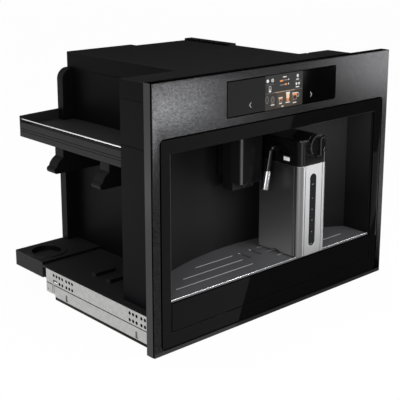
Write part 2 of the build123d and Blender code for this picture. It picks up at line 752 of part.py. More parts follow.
# ceiling, with the well that the spout rises into
with BuildPart() as alcove_ceiling:
    with BuildSketch(level(CEILING_Z)):
        with Locations((0, ALCOVE_CY)):
            Circle(ALCOVE_R)
        with Locations((0, CARRIER_BACK)):
            Rectangle(
                2 * ALCOVE_HALF,
                2 * (ALCOVE_DEEP - CARRIER_BACK),
                align=(Align.CENTER, Align.MIN),
                mode=Mode.INTERSECT,
            )
        with Locations((0, SPOUT_FRONT - SEAM)):
            Rectangle(
                2 * (GUIDE_HALF + SEAM),
                ALCOVE_DEEP,
                align=(Align.CENTER, Align.MIN),
                mode=Mode.SUBTRACT,
            )
    extrude(amount=SKIN)
save(alcove_ceiling, "alcove_ceiling")

# ================================================================ housing behind the front
for side, sign, body_side in (("left", -1, BODY_LEFT + SKIN), ("right", 1, BODY_RIGHT - SKIN)):
    for part_name, bottom, top in (
        ("lower", DECK_Z, SEAM_LOW - SEAM / 2),
        ("upper", SEAM_LOW + SEAM / 2, SEAM_TOP - SEAM / 2),
    ):
        with BuildPart() as collar:
            with BuildSketch(level(bottom)):
                with BuildLine():
                    Polyline(
                        (sign * COLLAR_HALF, CARRIER_BACK),
                        (sign * COLLAR_HALF, COLLAR_BACK),
                        (body_side, COLLAR_BACK),
                        (body_side, COLLAR_BACK - COLLAR_T),
                        (sign * (COLLAR_HALF - COLLAR_T), COLLAR_BACK - COLLAR_T),
                        (sign * (COLLAR_HALF - COLLAR_T), CARRIER_BACK),
                        close=True,
                    )
                make_face()
            extrude(amount=top - bottom)
            fillet(
                collar.edges().filter_by(Axis.Z).group_by(Axis.Y)[-1].sort_by(Axis.X)[
                    0 if sign < 0 else -1
                ],
                COLLAR_T / 2,
            )
        save(collar, f"{side}_collar_{part_name}")

# top cover over housing and body, with the skirt that the side covers meet
with BuildPart() as top_cover:
    with BuildSketch(level(SEAM_TOP)):
        with BuildLine():
            Polyline(
                (-COLLAR_HALF, COVER_FRONT),
                (-COLLAR_HALF, COLLAR_BACK),
                (BODY_LEFT, COLLAR_BACK),
                (BODY_LEFT, BODY_BACK),
                (BACK_STEP_X, BODY_BACK),
                (BACK_STEP_X, BODY_BACK_RIGHT),
                (BODY_RIGHT, BODY_BACK_RIGHT),
                (BODY_RIGHT, COLLAR_BACK),
                (COLLAR_HALF, COLLAR_BACK),
                (COLLAR_HALF, COVER_FRONT),
                close=True,
            )
        make_face()
    extrude(amount=TOP_Z - SEAM_TOP)
    fillet(top_cover.faces().sort_by(Axis.Z)[-1].edges(), SKIN / 2)
    with BuildSketch(level(SEAM_TOP)):
        with BuildLine():
            Polyline(
                (-COLLAR_HALF + SKIN, COVER_FRONT + SKIN),
                (-COLLAR_HALF + SKIN, COLLAR_BACK - SKIN),
                (BODY_LEFT + SKIN, COLLAR_BACK - SKIN),
                (BODY_LEFT + SKIN, BODY_BACK - SKIN),
                (BACK_STEP_X - SKIN, BODY_BACK - SKIN),
                (BACK_STEP_X - SKIN, BODY_BACK_RIGHT - SKIN),
                (BODY_RIGHT - SKIN, BODY_BACK_RIGHT - SKIN),
                (BODY_RIGHT - SKIN, COLLAR_BACK - SKIN),
                (COLLAR_HALF - SKIN, COLLAR_BACK - SKIN),
                (COLLAR_HALF - SKIN, COVER_FRONT + SKIN),
                close=True,
            )
        make_face()
    extrude(amount=TOP_Z - TOP_T - SEAM_TOP, mode=Mode.SUBTRACT)
    # raised vent rib at the rear right, with slots in its left flank
    with BuildSketch(level(TOP_Z)):
        with Locations((VENT_RIB_X, VENT_RIB_Y)):
            Rectangle(BODY_RIGHT - SKIN - VENT_RIB_X, VENT_RIB_L, align=(Align.MIN, Align.MIN))
    extrude(amount=VENT_RIB_H)
    with BuildSketch(level(TOP_Z)):
        with Locations((VENT_RIB_X, VENT_RIB_Y + VENT_RIB_L / 2)):
            with GridLocations(1, VENT_RIB_L / 9, 1, 8):
                Rectangle(4 * SHEET, VENT_RIB_L / 18)
    extrude(amount=VENT_RIB_H - SHEET, mode=Mode.SUBTRACT)
    # notch in the back edge and the fine seam that runs from it round the right corner
    with BuildSketch(level(TOP_Z)):
        with Locations((NOTCH_X, COLLAR_BACK)):
            Rectangle(NOTCH_W, 2 * SKIN, align=(Align.CENTER, Align.MAX))
    extrude(amount=-NOTCH_DEPTH, mode=Mode.SUBTRACT)
    with BuildSketch(level(TOP_Z)):
        with Locations((NOTCH_X - LID_CORNER_R, COLLAR_BACK)):
            Circle(LID_CORNER_R + SEAM)
            Circle(LID_CORNER_R - SEAM, mode=Mode.SUBTRACT)
            Rectangle(
                2 * LID_CORNER_R,
                2 * LID_CORNER_R,
                align=(Align.MIN, Align.MAX),
                mode=Mode.INTERSECT,
            )
    extrude(amount=-TOP_T / 2, mode=Mode.SUBTRACT)
    # hatch over the bean hopper, and the two bores for its lid's pins
    with BuildSketch(level(TOP_Z)):
        with Locations((GRINDER_X, GRINDER_Y)):
            Rectangle(BEAN_LID_W, BEAN_LID_D)
    extrude(amount=-TOP_T, mode=Mode.SUBTRACT)
    with BuildSketch(sideways(GRINDER_X - BEAN_LID_W / 2 - LID_PIN_L)):
        with Locations((GRINDER_Y + BEAN_LID_D / 2 - TOP_T / 2 - SEAM, TOP_Z - TOP_T / 2)):
            Circle(LID_PIN_R + RUN_FIT)
    extrude(amount=BEAN_LID_W + 2 * LID_PIN_L, mode=Mode.SUBTRACT)
save(top_cover, "top_cover")

LID_AXIS_Y = GRINDER_Y + BEAN_LID_D / 2 - TOP_T / 2 - SEAM
LID_AXIS_Z = TOP_Z - TOP_T / 2

# bean lid: flush plate, round rear edge on two pins, a finger scoop at the front
with BuildPart() as bean_lid:
    with BuildSketch(level(TOP_Z - TOP_T)):
        with Locations((GRINDER_X, LID_AXIS_Y)):
            Rectangle(
                BEAN_LID_W - 2 * SEAM,
                BEAN_LID_D - 2 * SEAM - TOP_T / 2,
                align=(Align.CENTER, Align.MAX),
            )
    extrude(amount=TOP_T)
    with BuildSketch(sideways(GRINDER_X - BEAN_LID_W / 2 + SEAM)):
        with Locations((LID_AXIS_Y, LID_AXIS_Z)):
            Circle(TOP_T / 2)
    extrude(amount=BEAN_LID_W - 2 * SEAM)
    with BuildSketch(sideways(GRINDER_X - BEAN_LID_W / 2 - LID_PIN_L + SEAM)):
        with Locations((LID_AXIS_Y, LID_AXIS_Z)):
            Circle(LID_PIN_R)
    extrude(amount=BEAN_LID_W + 2 * LID_PIN_L - 2 * SEAM)
    with BuildSketch(level(TOP_Z)):
        with Locations((GRINDER_X, GRINDER_Y - BEAN_LID_D / 2 + 4 * SKIN)):
            add(slot(BEAN_LID_W / 4, 3 * SKIN))
    extrude(amount=-TOP_T / 2, mode=Mode.SUBTRACT)
save(bean_lid, "bean_lid")

# body sides
with BuildPart() as left_side_panel:
    with BuildSketch(level(DECK_Z)):
        with Locations((BODY_LEFT, COLLAR_BACK)):
            Rectangle(SKIN, BODY_BACK - SKIN - COLLAR_BACK, align=(Align.MIN, Align.MIN))
    extrude(amount=SEAM_TOP - SEAM / 2 - DECK_Z)
save(left_side_panel, "left_side_panel")

# the right side carries the water outlet's socket as a moulded boss
with BuildPart() as right_side_panel:
    with BuildSketch(level(DECK_Z)):
        with Locations((BODY_RIGHT, COLLAR_BACK)):
            Rectangle(SKIN, BODY_BACK_RIGHT - SKIN - COLLAR_BACK, align=(Align.MAX, Align.MIN))
    extrude(amount=SEAM_TOP - SEAM / 2 - DECK_Z)
    with BuildSketch(sideways(BODY_RIGHT)):
        with Locations(((TANK_FRONT + TANK_BACK) / 2, TANK_OUTLET_Z)):
            Circle(2 * TANK_OUTLET_R)
    extrude(amount=TANK_GAP - GAP)
    with BuildSketch(sideways(BODY_RIGHT + TANK_GAP)):
        with Locations(((TANK_FRONT + TANK_BACK) / 2, TANK_OUTLET_Z)):
            Circle(TANK_OUTLET_R - SHEET)
    extrude(amount=-TANK_GAP - SKIN, mode=Mode.SUBTRACT)
save(right_side_panel, "right_side_panel")

SWITCH_Y = BODY_BACK_RIGHT - SKIN / 2

# stepped rear cover with vent slots and the cut-outs for the inlet and the switch
with BuildPart() as rear_cover:
    with BuildSketch(level(DECK_Z)):
        with BuildLine():
            Polyline(
                (BODY_LEFT, BODY_BACK),
                (BACK_STEP_X, BODY_BACK),
                (BACK_STEP_X, BODY_BACK_RIGHT),
                (BODY_RIGHT, BODY_BACK_RIGHT),
                (BODY_RIGHT, BODY_BACK_RIGHT - SKIN),
                (BACK_STEP_X - SKIN, BODY_BACK_RIGHT - SKIN),
                (BACK_STEP_X - SKIN, BODY_BACK - SKIN),
                (BODY_LEFT, BODY_BACK - SKIN),
                close=True,
            )
        make_face()
    extrude(amount=SEAM_TOP - SEAM / 2 - DECK_Z)
    with BuildSketch(upright(BODY_BACK)):
        with Locations((POWER_X, (POWER_Z + SEAM_TOP) / 2)):
            with GridLocations(VENT_STEP, 1, VENTS, 1):
                Rectangle(VENT_W, POWER_H)
        with Locations((POWER_X, (CHASSIS_Z + POWER_Z) / 2)):
            with GridLocations(VENT_STEP, 1, VENTS, 1):
                Rectangle(VENT_W, POWER_H / 2)
    extrude(amount=SKIN, mode=Mode.SUBTRACT)
    with BuildSketch(upright(BODY_BACK_RIGHT)):
        with Locations((INLET_X, INLET_Z)):
            Rectangle(INLET_W + 2 * GAP, INLET_H + 2 * GAP)
        with Locations((SWITCH_X, INLET_Z)):
            Rectangle(SWITCH_W + 2 * SEAM, SWITCH_H + 2 * SEAM)
    extrude(amount=SKIN, mode=Mode.SUBTRACT)
    with BuildSketch(sideways(SWITCH_X)):
        with Locations((SWITCH_Y, INLET_Z)):
            Circle(SWITCH_PIN_R + RUN_FIT)
    extrude(amount=SWITCH_W / 2 + SEAM + SWITCH_PIN_L + GAP, both=True, mode=Mode.SUBTRACT)
save(rear_cover, "rear_cover")

# ================================================================ storage bay on the left
# hollow column at the rear corner, open towards the body
with BuildPart() as rear_upright:
    with BuildSketch(upright(BODY_BACK - UPRIGHT_D)):
        with Locations((BODY_LEFT, REAR_DECK_Z)):
            Rectangle(UPRIGHT_W, UPRIGHT_TOP - REAR_DECK_Z, align=(Align.MAX, Align.MIN))
    extrude(amount=-(UPRIGHT_D - BODY_BACK + BASE_BACK))
    outer_corner = rear_upright.edges().filter_by(Axis.Y).group_by(Axis.Z)[-1].sort_by(Axis.X)[0]
    fillet(outer_corner, UPRIGHT_R)
    offset(amount=-SKIN, openings=rear_upright.faces().sort_by(Axis.X)[-1], mode=Mode.REPLACE)
save(rear_upright, "rear_upright")

# shelf: grooved fascia, floor, inner flange against the body and a rear wall
with BuildPart() as accessory_shelf:
    with BuildSketch(upright(COLLAR_BACK)):
        with BuildLine():
            Polyline(
                (SHELF_OUT, SHELF_BOTTOM),
                (SHELF_OUT, SHELF_LIP),
                (SHELF_OUT + FASCIA_T, SHELF_LIP),
                (SHELF_OUT + FASCIA_T, SHELF_FLOOR),
                (BODY_LEFT, SHELF_FLOOR),
                (BODY_LEFT, SHELF_BOTTOM),
                (BODY_LEFT - SKIN, SHELF_BOTTOM),
                (BODY_LEFT - SKIN, SHELF_FLOOR - RIB),
                (SHELF_OUT + FASCIA_T, SHELF_FLOOR - RIB),
                (SHELF_OUT + FASCIA_T, SHELF_BOTTOM),
                close=True,
            )
        make_face()
    extrude(amount=-(BASE_BACK - COLLAR_BACK))
    # rear wall, rising a little towards the upright
    with BuildSketch(upright(BASE_BACK)):
        with BuildLine():
            Polyline(
                (SHELF_OUT, SHELF_BOTTOM),
                (SHELF_OUT, SHELF_WALL),
                (BODY_LEFT - UPRIGHT_W, SHELF_WALL + RIB),
                (BODY_LEFT - UPRIGHT_W, SHELF_BOTTOM),
                close=True,
            )
        make_face()
    extrude(amount=FASCIA_T)
    # ribs over the two hooks
    for hook_y in HOOKS_Y.values():
        for edge in (-HOOK_W / 2 + RIB / 2, HOOK_W / 2 - RIB / 2):
            with BuildSketch(upright(hook_y + edge)):
                with Locations((SHELF_OUT + FASCIA_T, SHELF_FLOOR - RIB)):
                    Rectangle(
                        BODY_LEFT - SKIN - SHELF_OUT - FASCIA_T,
                        SHELF_FLOOR - RIB - SHELF_BOTTOM,
                        align=(Align.MIN, Align.MAX),
                    )
            extrude(amount=RIB / 2, both=True)
    with BuildSketch(upright(COLLAR_BACK)):
        with Locations([(SHELF_OUT, z) for z in GROOVE_Z]):
            Rectangle(2 * GROOVE_D, GROOVE_D)
    extrude(amount=-(BASE_BACK - COLLAR_BACK), mode=Mode.SUBTRACT)
    # clearance for the upright
    with BuildSketch(level(SHELF_BOTTOM)):
        with Locations((BODY_LEFT, BODY_BACK - UPRIGHT_D)):
            Rectangle(UPRIGHT_W, UPRIGHT_D, align=(Align.MAX, Align.MIN))
    extrude(amount=SHELF_WALL + 2 * RIB - SHELF_BOTTOM, mode=Mode.SUBTRACT)
save(accessory_shelf, "accessory_shelf")

with BuildPart() as shelf_rail:
    with BuildSketch(upright(COLLAR_BACK)):
        with Locations((CHROME_X, CHROME_Z)):
            Circle(CHROME_R)
    extrude(amount=-(BASE_BACK - FASCIA_T - COLLAR_BACK))
save(shelf_rail, "shelf_rail")

# hooks: brackets under the shelf whose outer end flares into a rounded toe
for name, y in HOOKS_Y.items():
    with BuildPart() as hook:
        with BuildSketch(upright(y)):
            with BuildLine():
                root = Line((BODY_LEFT, SHELF_BOTTOM), (SHELF_OUT, SHELF_BOTTOM))
                neck = Line(root @ 1, (SHELF_OUT, HOOK_ROOT))
                flare = RadiusArc(neck @ 1, (HOOK_TOE + HOOK_TOE_R, HOOK_TOE_TOP), -HOOK_ROOT / 10)
                toe = ThreePointArc(
                    flare @ 1,
                    (HOOK_TOE, (HOOK_TOE_TOP + HOOK_BOTTOM) / 2),
                    (HOOK_TOE + HOOK_TOE_R, HOOK_BOTTOM),
                )
                sole = Line(toe @ 1, (BODY_LEFT, HOOK_BOTTOM))
                Line(sole @ 1, root @ 0)
            make_face()
        extrude(amount=HOOK_W / 2, both=True)
    save(hook, name)

# ================================================================ drip tray
TRAY_HALF = CHANNEL_HALF - TRAY_SIDE
TRAY_REAR_HALF = CHANNEL_REAR_HALF - TRAY_SIDE
TRAY_BOTTOM = CHANNEL_FLOOR + GAP
TRAY_MIDDLE = TRAY_FRONT_Z + TRAY_FRONT_H / 2

# basin, wide under the alcove and narrow behind it
with BuildPart() as drip_tray:
    with BuildSketch(level(TRAY_BOTTOM)):
        with Locations((0, GLASS_BACK)):
            Rectangle(2 * TRAY_HALF, TRAY_BACK - GLASS_BACK, align=(Align.CENTER, Align.MIN))
            Rectangle(
                2 * TRAY_REAR_HALF, TRAY_REAR_BACK - GLASS_BACK, align=(Align.CENTER, Align.MIN)
            )
    extrude(amount=TRAY_RIM - TRAY_BOTTOM)
    with BuildSketch(level(TRAY_BOTTOM + TRAY_WALL)):
        with Locations((0, GLASS_BACK + TRAY_WALL)):
            Rectangle(
                2 * (TRAY_HALF - TRAY_WALL),
                TRAY_BACK - GLASS_BACK - 2 * TRAY_WALL,
                align=(Align.CENTER, Align.MIN),
            )
            Rectangle(
                2 * (TRAY_REAR_HALF - TRAY_WALL),
                TRAY_REAR_BACK - GLASS_BACK - 2 * TRAY_WALL,
                align=(Align.CENTER, Align.MIN),
            )
    extrude(amount=TRAY_RIM - TRAY_BOTTOM - TRAY_WALL, mode=Mode.SUBTRACT)
save(drip_tray, "drip_tray")

with BuildPart() as tray_front_glass:
    with BuildSketch(upright(GLASS_BACK)):
        with Locations((0, TRAY_MIDDLE)):
            RectangleRounded(MOUTH_W - 2 * (SEAM + GAP), TRAY_FRONT_H, DISPLAY_R)
    extrude(amount=GLASS_T)
    chamfer(tray_front_glass.faces().sort_by(Axis.Y)[0].edges(), GAP)
save(tray_front_glass, "tray_front_glass")

# grille: a plate that follows the curved wall, with long slots and a turned-up front edge
with BuildPart() as drip_grille:
    with BuildSketch(level(TRAY_RIM)):
        with Locations((0, ALCOVE_CY)):
            Circle(ALCOVE_R - SEAM)
        with Locations((0, GLASS_BACK + GAP)):
            Rectangle(
                2 * (ALCOVE_HALF - SEAM - GAP),
                2 * ALCOVE_DEEP,
                align=(Align.CENTER, Align.MIN),
                mode=Mode.INTERSECT,
            )
        for y, kept in SLOT_ROWS:
            slot_end = ALCOVE_HALF - kept
            slot_middle = (SLOT_START + slot_end) / 2
            with Locations((slot_middle, y), (-slot_middle, y)):
                add(slot(slot_end - SLOT_START, SLOT_W), mode=Mode.SUBTRACT)
        with Locations((SHORT_SLOT_X, SHORT_SLOT_Y), (-SHORT_SLOT_X, SHORT_SLOT_Y)):
            add(slot(SHORT_SLOT_L, SHORT_SLOT_W, 90), mode=Mode.SUBTRACT)
    extrude(amount=GRILLE_T)
    with BuildSketch(level(TRAY_RIM + GRILLE_T)):
        with Locations((0, GLASS_BACK + GAP)):
            Rectangle(
                2 * (ALCOVE_HALF - SEAM - GAP), GRILLE_LIP_D, align=(Align.CENTER, Align.MIN)
            )
    extrude(amount=GRILLE_LIP)
save(drip_grille, "drip_grille")

# grounds container, standing in the narrow part of the basin
with BuildPart() as grounds_container:
    container_half = TRAY_REAR_HALF - TRAY_WALL - SEAM
    container_front = TRAY_BACK + 2 * SEAM
    container_back = TRAY_REAR_BACK - TRAY_WALL - SEAM
    container_bottom = TRAY_BOTTOM + TRAY_WALL
    with BuildSketch(level(container_bottom)):
        with Locations((0, container_front)):
            Rectangle(
                2 * container_half, container_back - container_front, align=(Align.CENTER, Align.MIN)
            )
    extrude(amount=TRAY_RIM - container_bottom)
    fillet(grounds_container.edges().filter_by(Axis.Z), TANK_R)
    offset(
        amount=-CONTAINER_WALL,
        openings=grounds_container.faces().sort_by(Axis.Z)[-1],
        mode=Mode.REPLACE,
    )
save(grounds_container, "grounds_container")

# ================================================================ coffee spout
# guide plate on the curved wall, with the T slot that the carriage's tongue runs in
with BuildPart() as spout_guide:
    with BuildSketch(level(GUIDE_BOTTOM)):
        with Locations((0, ALCOVE_CY)):
            Circle(ALCOVE_R)
        with Locations((0, GUIDE_FRONT)):
            Rectangle(
                2 * GUIDE_HALF, ALCOVE_DEEP, align=(Align.CENTER, Align.MIN), mode=Mode.INTERSECT
            )
            Rectangle(
                2 * GUIDE_NECK_HALF,
                GUIDE_NECK_D,
                align=(Align.CENTER, Align.MIN),
                mode=Mode.SUBTRACT,
            )
        with Locations((0, GUIDE_FRONT + GUIDE_NECK_D)):
            Rectangle(
                2 * GUIDE_SLOT_HALF,
                GUIDE_SLOT_D,
                align=(Align.CENTER, Align.MIN),
                mode=Mode.SUBTRACT,
            )
    extrude(amount=WALL_TOP - GUIDE_BOTTOM)
save(spout_guide, "spout_guide")

# carriage with its tongue, a manifold and two nozzles
with BuildPart() as spout_carriage:
    with BuildSketch(level(CARRIAGE_BOTTOM)):
        with Locations((0, GUIDE_FRONT - GAP)):
            Rectangle(
                2 * CARRIAGE_HALF,
                GUIDE_FRONT - GAP - CARRIAGE_FRONT,
                align=(Align.CENTER, Align.MAX),
            )
    extrude(amount=SPOUT_TOP - CARRIAGE_BOTTOM)
    fillet(spout_carriage.edges().filter_by(Axis.Z).group_by(Axis.Y)[0], SPOUT_R / 2)
    with BuildSketch(level(GUIDE_BOTTOM)):
        with Locations((0, GUIDE_FRONT - GAP)):
            Rectangle(
                2 * (GUIDE_NECK_HALF - GAP), GUIDE_NECK_D + 2 * GAP, align=(Align.CENTER, Align.MIN)
            )
        with Locations((0, GUIDE_FRONT + GUIDE_NECK_D + GAP)):
            Rectangle(
                2 * (GUIDE_SLOT_HALF - GAP),
                GUIDE_SLOT_D - 2 * GAP,
                align=(Align.CENTER, Align.MIN),
            )
    extrude(amount=SPOUT_TOP - GUIDE_BOTTOM)
    with BuildSketch(level(MANIFOLD_Z)):
        with Locations((0, CARRIAGE_FRONT)):
            Rectangle(
                2 * (NOZZLE_X + 2 * NOZZLE_R),
                CARRIAGE_FRONT - NOZZLE_Y + 2 * NOZZLE_R,
                align=(Align.CENTER, Align.MAX),
            )
    extrude(amount=MANIFOLD_H)
    with BuildSketch(level(NOZZLE_BOTTOM)):
        with Locations((-NOZZLE_X, NOZZLE_Y), (NOZZLE_X, NOZZLE_Y)):
            Circle(NOZZLE_R)
    extrude(amount=MANIFOLD_Z - NOZZLE_BOTTOM)
    with BuildSketch(level(NOZZLE_BOTTOM)):
        with Locations((-NOZZLE_X, NOZZLE_Y), (NOZZLE_X, NOZZLE_Y)):
            Circle(NOZZLE_BORE)
    extrude(amount=MANIFOLD_Z - NOZZLE_BOTTOM + MANIFOLD_H / 2, mode=Mode.SUBTRACT)
save(spout_carriage, "spout_carriage")

# gloss cover: a tall U in plan, closed below round the nozzles
with BuildPart() as spout_cover:
    with BuildSketch(level(SPOUT_BOTTOM)):
        with Locations((0, SPOUT_FRONT)):
            Rectangle(
                2 * SPOUT_HALF, CARRIAGE_FRONT - SPOUT_FRONT, align=(Align.CENTER, Align.MIN)
            )
    extrude(amount=SPOUT_TOP - SPOUT_BOTTOM)
    fillet(spout_cover.edges().filter_by(Axis.Z).group_by(Axis.Y)[0], SPOUT_R)
    with BuildSketch(level(SPOUT_BOTTOM + SPOUT_T)):
        with Locations((0, SPOUT_FRONT + SPOUT_T)):
            Rectangle(
                2 * (SPOUT_HALF - SPOUT_T),
                CARRIAGE_FRONT - SPOUT_FRONT - SPOUT_T,
                align=(Align.CENTER, Align.MIN),
            )
    extrude(amount=SPOUT_TOP - SPOUT_BOTTOM - SPOUT_T, mode=Mode.SUBTRACT)
    with BuildSketch(level(SPOUT_BOTTOM)):
        with Locations((-NOZZLE_X, NOZZLE_Y), (NOZZLE_X, NOZZLE_Y)):
            Circle(NOZZLE_R + GAP)
    extrude(amount=SPOUT_T, mode=Mode.SUBTRACT)
    # the sides reach back past the carriage
    with BuildSketch(level(SPOUT_BOTTOM)):
        with Locations((-SPOUT_HALF, CARRIAGE_FRONT)):
            Rectangle(SPOUT_T, SPOUT_BACK - CARRIAGE_FRONT, align=(Align.MIN, Align.MIN))
        with Locations((SPOUT_HALF, CARRIAGE_FRONT)):
            Rectangle(SPOUT_T, SPOUT_BACK - CARRIAGE_FRONT, align=(Align.MAX, Align.MIN))
    extrude(amount=SPOUT_TOP - SPOUT_BOTTOM)
save(spout_cover, "spout_cover")

# steam connector: spigot with a seal face, shank through the wall and a nut behind it
DOCK_FACE = CARAFE_FRONT + CARAFE_D + GAP
DOCK_WALL = wall_y(CARAFE_X)
with BuildPart() as steam_connector:
    with BuildSketch(upright(DOCK_FACE)):
        with Locations((CARAFE_X, DOCK_Z)):
            RegularPolygon(DOCK_SEAL_R, ROUND)
    extrude(amount=-(DOCK_WALL - DOCK_FACE) / 2)
    with BuildSketch(upright(DOCK_FACE)):
        with Locations((CARAFE_X, DOCK_Z)):
            RegularPolygon(DOCK_R, 2 * FACETS)
    extrude(amount=-(DOCK_WALL - DOCK_FACE + 6 * SKIN))
    with BuildSketch(upright(DOCK_WALL + 3 * SKIN)):
        with Locations((CARAFE_X, DOCK_Z)):
            RegularPolygon(DOCK_NUT_R, 6)
    extrude(amount=-2 * SKIN)
    with BuildSketch(upright(DOCK_FACE)):
        with Locations((CARAFE_X, DOCK_Z)):
            RegularPolygon(DOCK_R / 2, FACETS)
    extrude(amount=-(DOCK_WALL - DOCK_FACE + 6 * SKIN), mode=Mode.SUBTRACT)
save(steam_connector, "steam_connector")

# ================================================================ milk carafe
CARAFE_Z = TRAY_RIM + GRILLE_T + GRILLE_LIP + GAP
CARAFE_BACK = CARAFE_FRONT + CARAFE_D
CARAFE_LEFT = CARAFE_X - CARAFE_W / 2
CARAFE_MIDDLE = (CARAFE_FRONT + CARAFE_BACK) / 2
LID_Z = CARAFE_TOP + LID_SEAM
LID_TOP = LID_Z + LID_H


def carafe_outline(inset):
    """The carafe in plan, rounder in front than behind, drawn in by inset."""
    with BuildSketch() as outline:
        with Locations((CARAFE_X, CARAFE_MIDDLE)):
            Rectangle(CARAFE_W - 2 * inset, CARAFE_D - 2 * inset)
        fillet(outline.vertices().group_by(Axis.Y)[0], CARAFE_R - inset)
        fillet(outline.vertices().sort_by(Axis.Y)[-2:], CARAFE_REAR_R - inset)
    return outline.sketch


# steel casing, open above, with the sight slot and fine bands beside the front corners
with BuildPart() as carafe_casing:
    with BuildSketch(level(CARAFE_Z)):
        add(carafe_outline(0))
    extrude(amount=CARAFE_TOP - CARAFE_Z)
    offset(
        amount=-CARAFE_T, openings=carafe_casing.faces().sort_by(Axis.Z)[-1], mode=Mode.REPLACE
    )
    with BuildSketch(upright(CARAFE_FRONT)):
        with Locations((WINDOW_X, WINDOW_BOTTOM + WINDOW_H / 2)):
            SlotOverall(WINDOW_H, WINDOW_W, rotation=90)
    extrude(amount=-2 * CARAFE_T, mode=Mode.SUBTRACT)
    with BuildSketch(level(CARAFE_Z)):
        with Locations(
            (CARAFE_LEFT + BAND_STEP, CARAFE_FRONT),
            (CARAFE_LEFT + CARAFE_W - BAND_STEP, CARAFE_FRONT),
        ):
            Rectangle(BAND_W, 2 * BAND_D)
        with Locations(
            (CARAFE_LEFT, CARAFE_FRONT + BAND_STEP),
            (CARAFE_LEFT + CARAFE_W, CARAFE_FRONT + BAND_STEP),
        ):
            Rectangle(2 * BAND_D, BAND_W)
    extrude(amount=CARAFE_TOP - CARAFE_Z, mode=Mode.SUBTRACT)
    with BuildSketch(sideways(CARAFE_LEFT)):
        with BuildLine():
            arch = ThreePointArc(
                (ARCH_Y - ARCH_W / 2, CARAFE_Z),
                (ARCH_Y, CARAFE_Z + ARCH_H),
                (ARCH_Y + ARCH_W / 2, CARAFE_Z),
            )
            Line(arch @ 1, arch @ 0)
        make_face()
    extrude(amount=CARAFE_T, mode=Mode.SUBTRACT)
save(carafe_casing, "carafe_casing")

# inner liner that holds the milk, standing on the casing's floor
with BuildPart() as carafe_liner:
    with BuildSketch(level(CARAFE_Z + CARAFE_T)):
        add(carafe_outline(CARAFE_T + LINER_GAP))
    extrude(amount=CARAFE_TOP - CARAFE_Z - CARAFE_T)
    offset(
        amount=-LINER_T, openings=carafe_liner.faces().sort_by(Axis.Z)[-1], mode=Mode.REPLACE
    )
save(carafe_liner, "carafe_liner")

# clear window strip that fills the slot and rests on the liner
with BuildPart() as carafe_window:
    with BuildSketch(upright(CARAFE_FRONT + CARAFE_T + LINER_GAP)):
        with Locations((WINDOW_X, WINDOW_BOTTOM + WINDOW_H / 2)):
            SlotOverall(WINDOW_H, WINDOW_W, rotation=90)
    extrude(amount=WINDOW_T)
save(carafe_window, "carafe_window")

# gloss lid: bevelled block with the froth drum, a side niche, a button pocket and a plug below
with BuildPart() as carafe_lid:
    with BuildSketch(level(LID_Z)):
        add(carafe_outline(0))
    extrude(amount=LID_H)
    chamfer(carafe_lid.faces().sort_by(Axis.Z)[-1].edges(), LID_BEVEL)
    with BuildSketch(upright(CARAFE_FRONT)):
        with Locations((KNOB_X, KNOB_Z)):
            RegularPolygon(DRUM_R, 4 * FACETS)
    extrude(amount=-(DRUM_BACK - CARAFE_FRONT))
    with BuildSketch(level(LID_Z - LID_PLUG)):
        with Locations((CARAFE_X, CARAFE_MIDDLE)):
            inset = CARAFE_T + LINER_GAP + LINER_T + SEAM
            RectangleRounded(CARAFE_W - 2 * inset, CARAFE_D - 2 * inset, CARAFE_R - inset)
            Rectangle(
                CARAFE_W - 2 * inset - 4 * LINER_T,
                CARAFE_D - 2 * inset - 4 * LINER_T,
                mode=Mode.SUBTRACT,
            )
    extrude(amount=LID_PLUG)
    with BuildSketch(sideways(CARAFE_LEFT)):
        with Locations((NICHE_Y, NICHE_Z)):
            RectangleRounded(NICHE_W, NICHE_H, DISPLAY_R)
    extrude(amount=NICHE_D, mode=Mode.SUBTRACT)
    with BuildSketch(sideways(CARAFE_LEFT)):
        with Locations((BUTTON_Y, BUTTON_Z)):
            Rectangle(BUTTON_W + 2 * GAP, BUTTON_H + 2 * GAP)
    extrude(amount=BUTTON_D + BUTTON_OUT + GAP, mode=Mode.SUBTRACT)
    with BuildSketch(sideways(CARAFE_LEFT)):
        with Locations((PIPE_Y, PIPE_Z)):
            Circle(PIPE_R + RUN_FIT)
    extrude(amount=NICHE_D + PIPE_ROOT + GAP, mode=Mode.SUBTRACT)
    with BuildSketch(upright(CARAFE_FRONT)):
        with Locations((KNOB_X, KNOB_Z)):
            Circle(KNOB_SHAFT_R + RUN_FIT)
    extrude(amount=-(KNOB_SHAFT_L + GAP), mode=Mode.SUBTRACT)
    with BuildSketch(level(LID_Z)):
        with Locations((CARAFE_X, CARAFE_MIDDLE)):
            RegularPolygon(INTAKE_R, FACETS)
    extrude(amount=LID_PLUG / 2, mode=Mode.SUBTRACT)
    # steam port that meets the connector
    with BuildSketch(upright(CARAFE_BACK)):
        with Locations((CARAFE_X, DOCK_Z)):
            RegularPolygon(DOCK_R / 2, FACETS)
    extrude(amount=KNOB_SHAFT_L, mode=Mode.SUBTRACT)
save(carafe_lid, "carafe_lid")

with BuildPart() as milk_intake_tube:
    with BuildSketch(level(INTAKE_BOTTOM)):
        with Locations((CARAFE_X, CARAFE_MIDDLE)):
            RegularPolygon(INTAKE_R, FACETS)
            RegularPolygon(INTAKE_BORE, FACETS, mode=Mode.SUBTRACT)
    extrude(amount=LID_Z + LID_PLUG / 2 - INTAKE_BOTTOM)
save(milk_intake_tube, "milk_intake_tube")

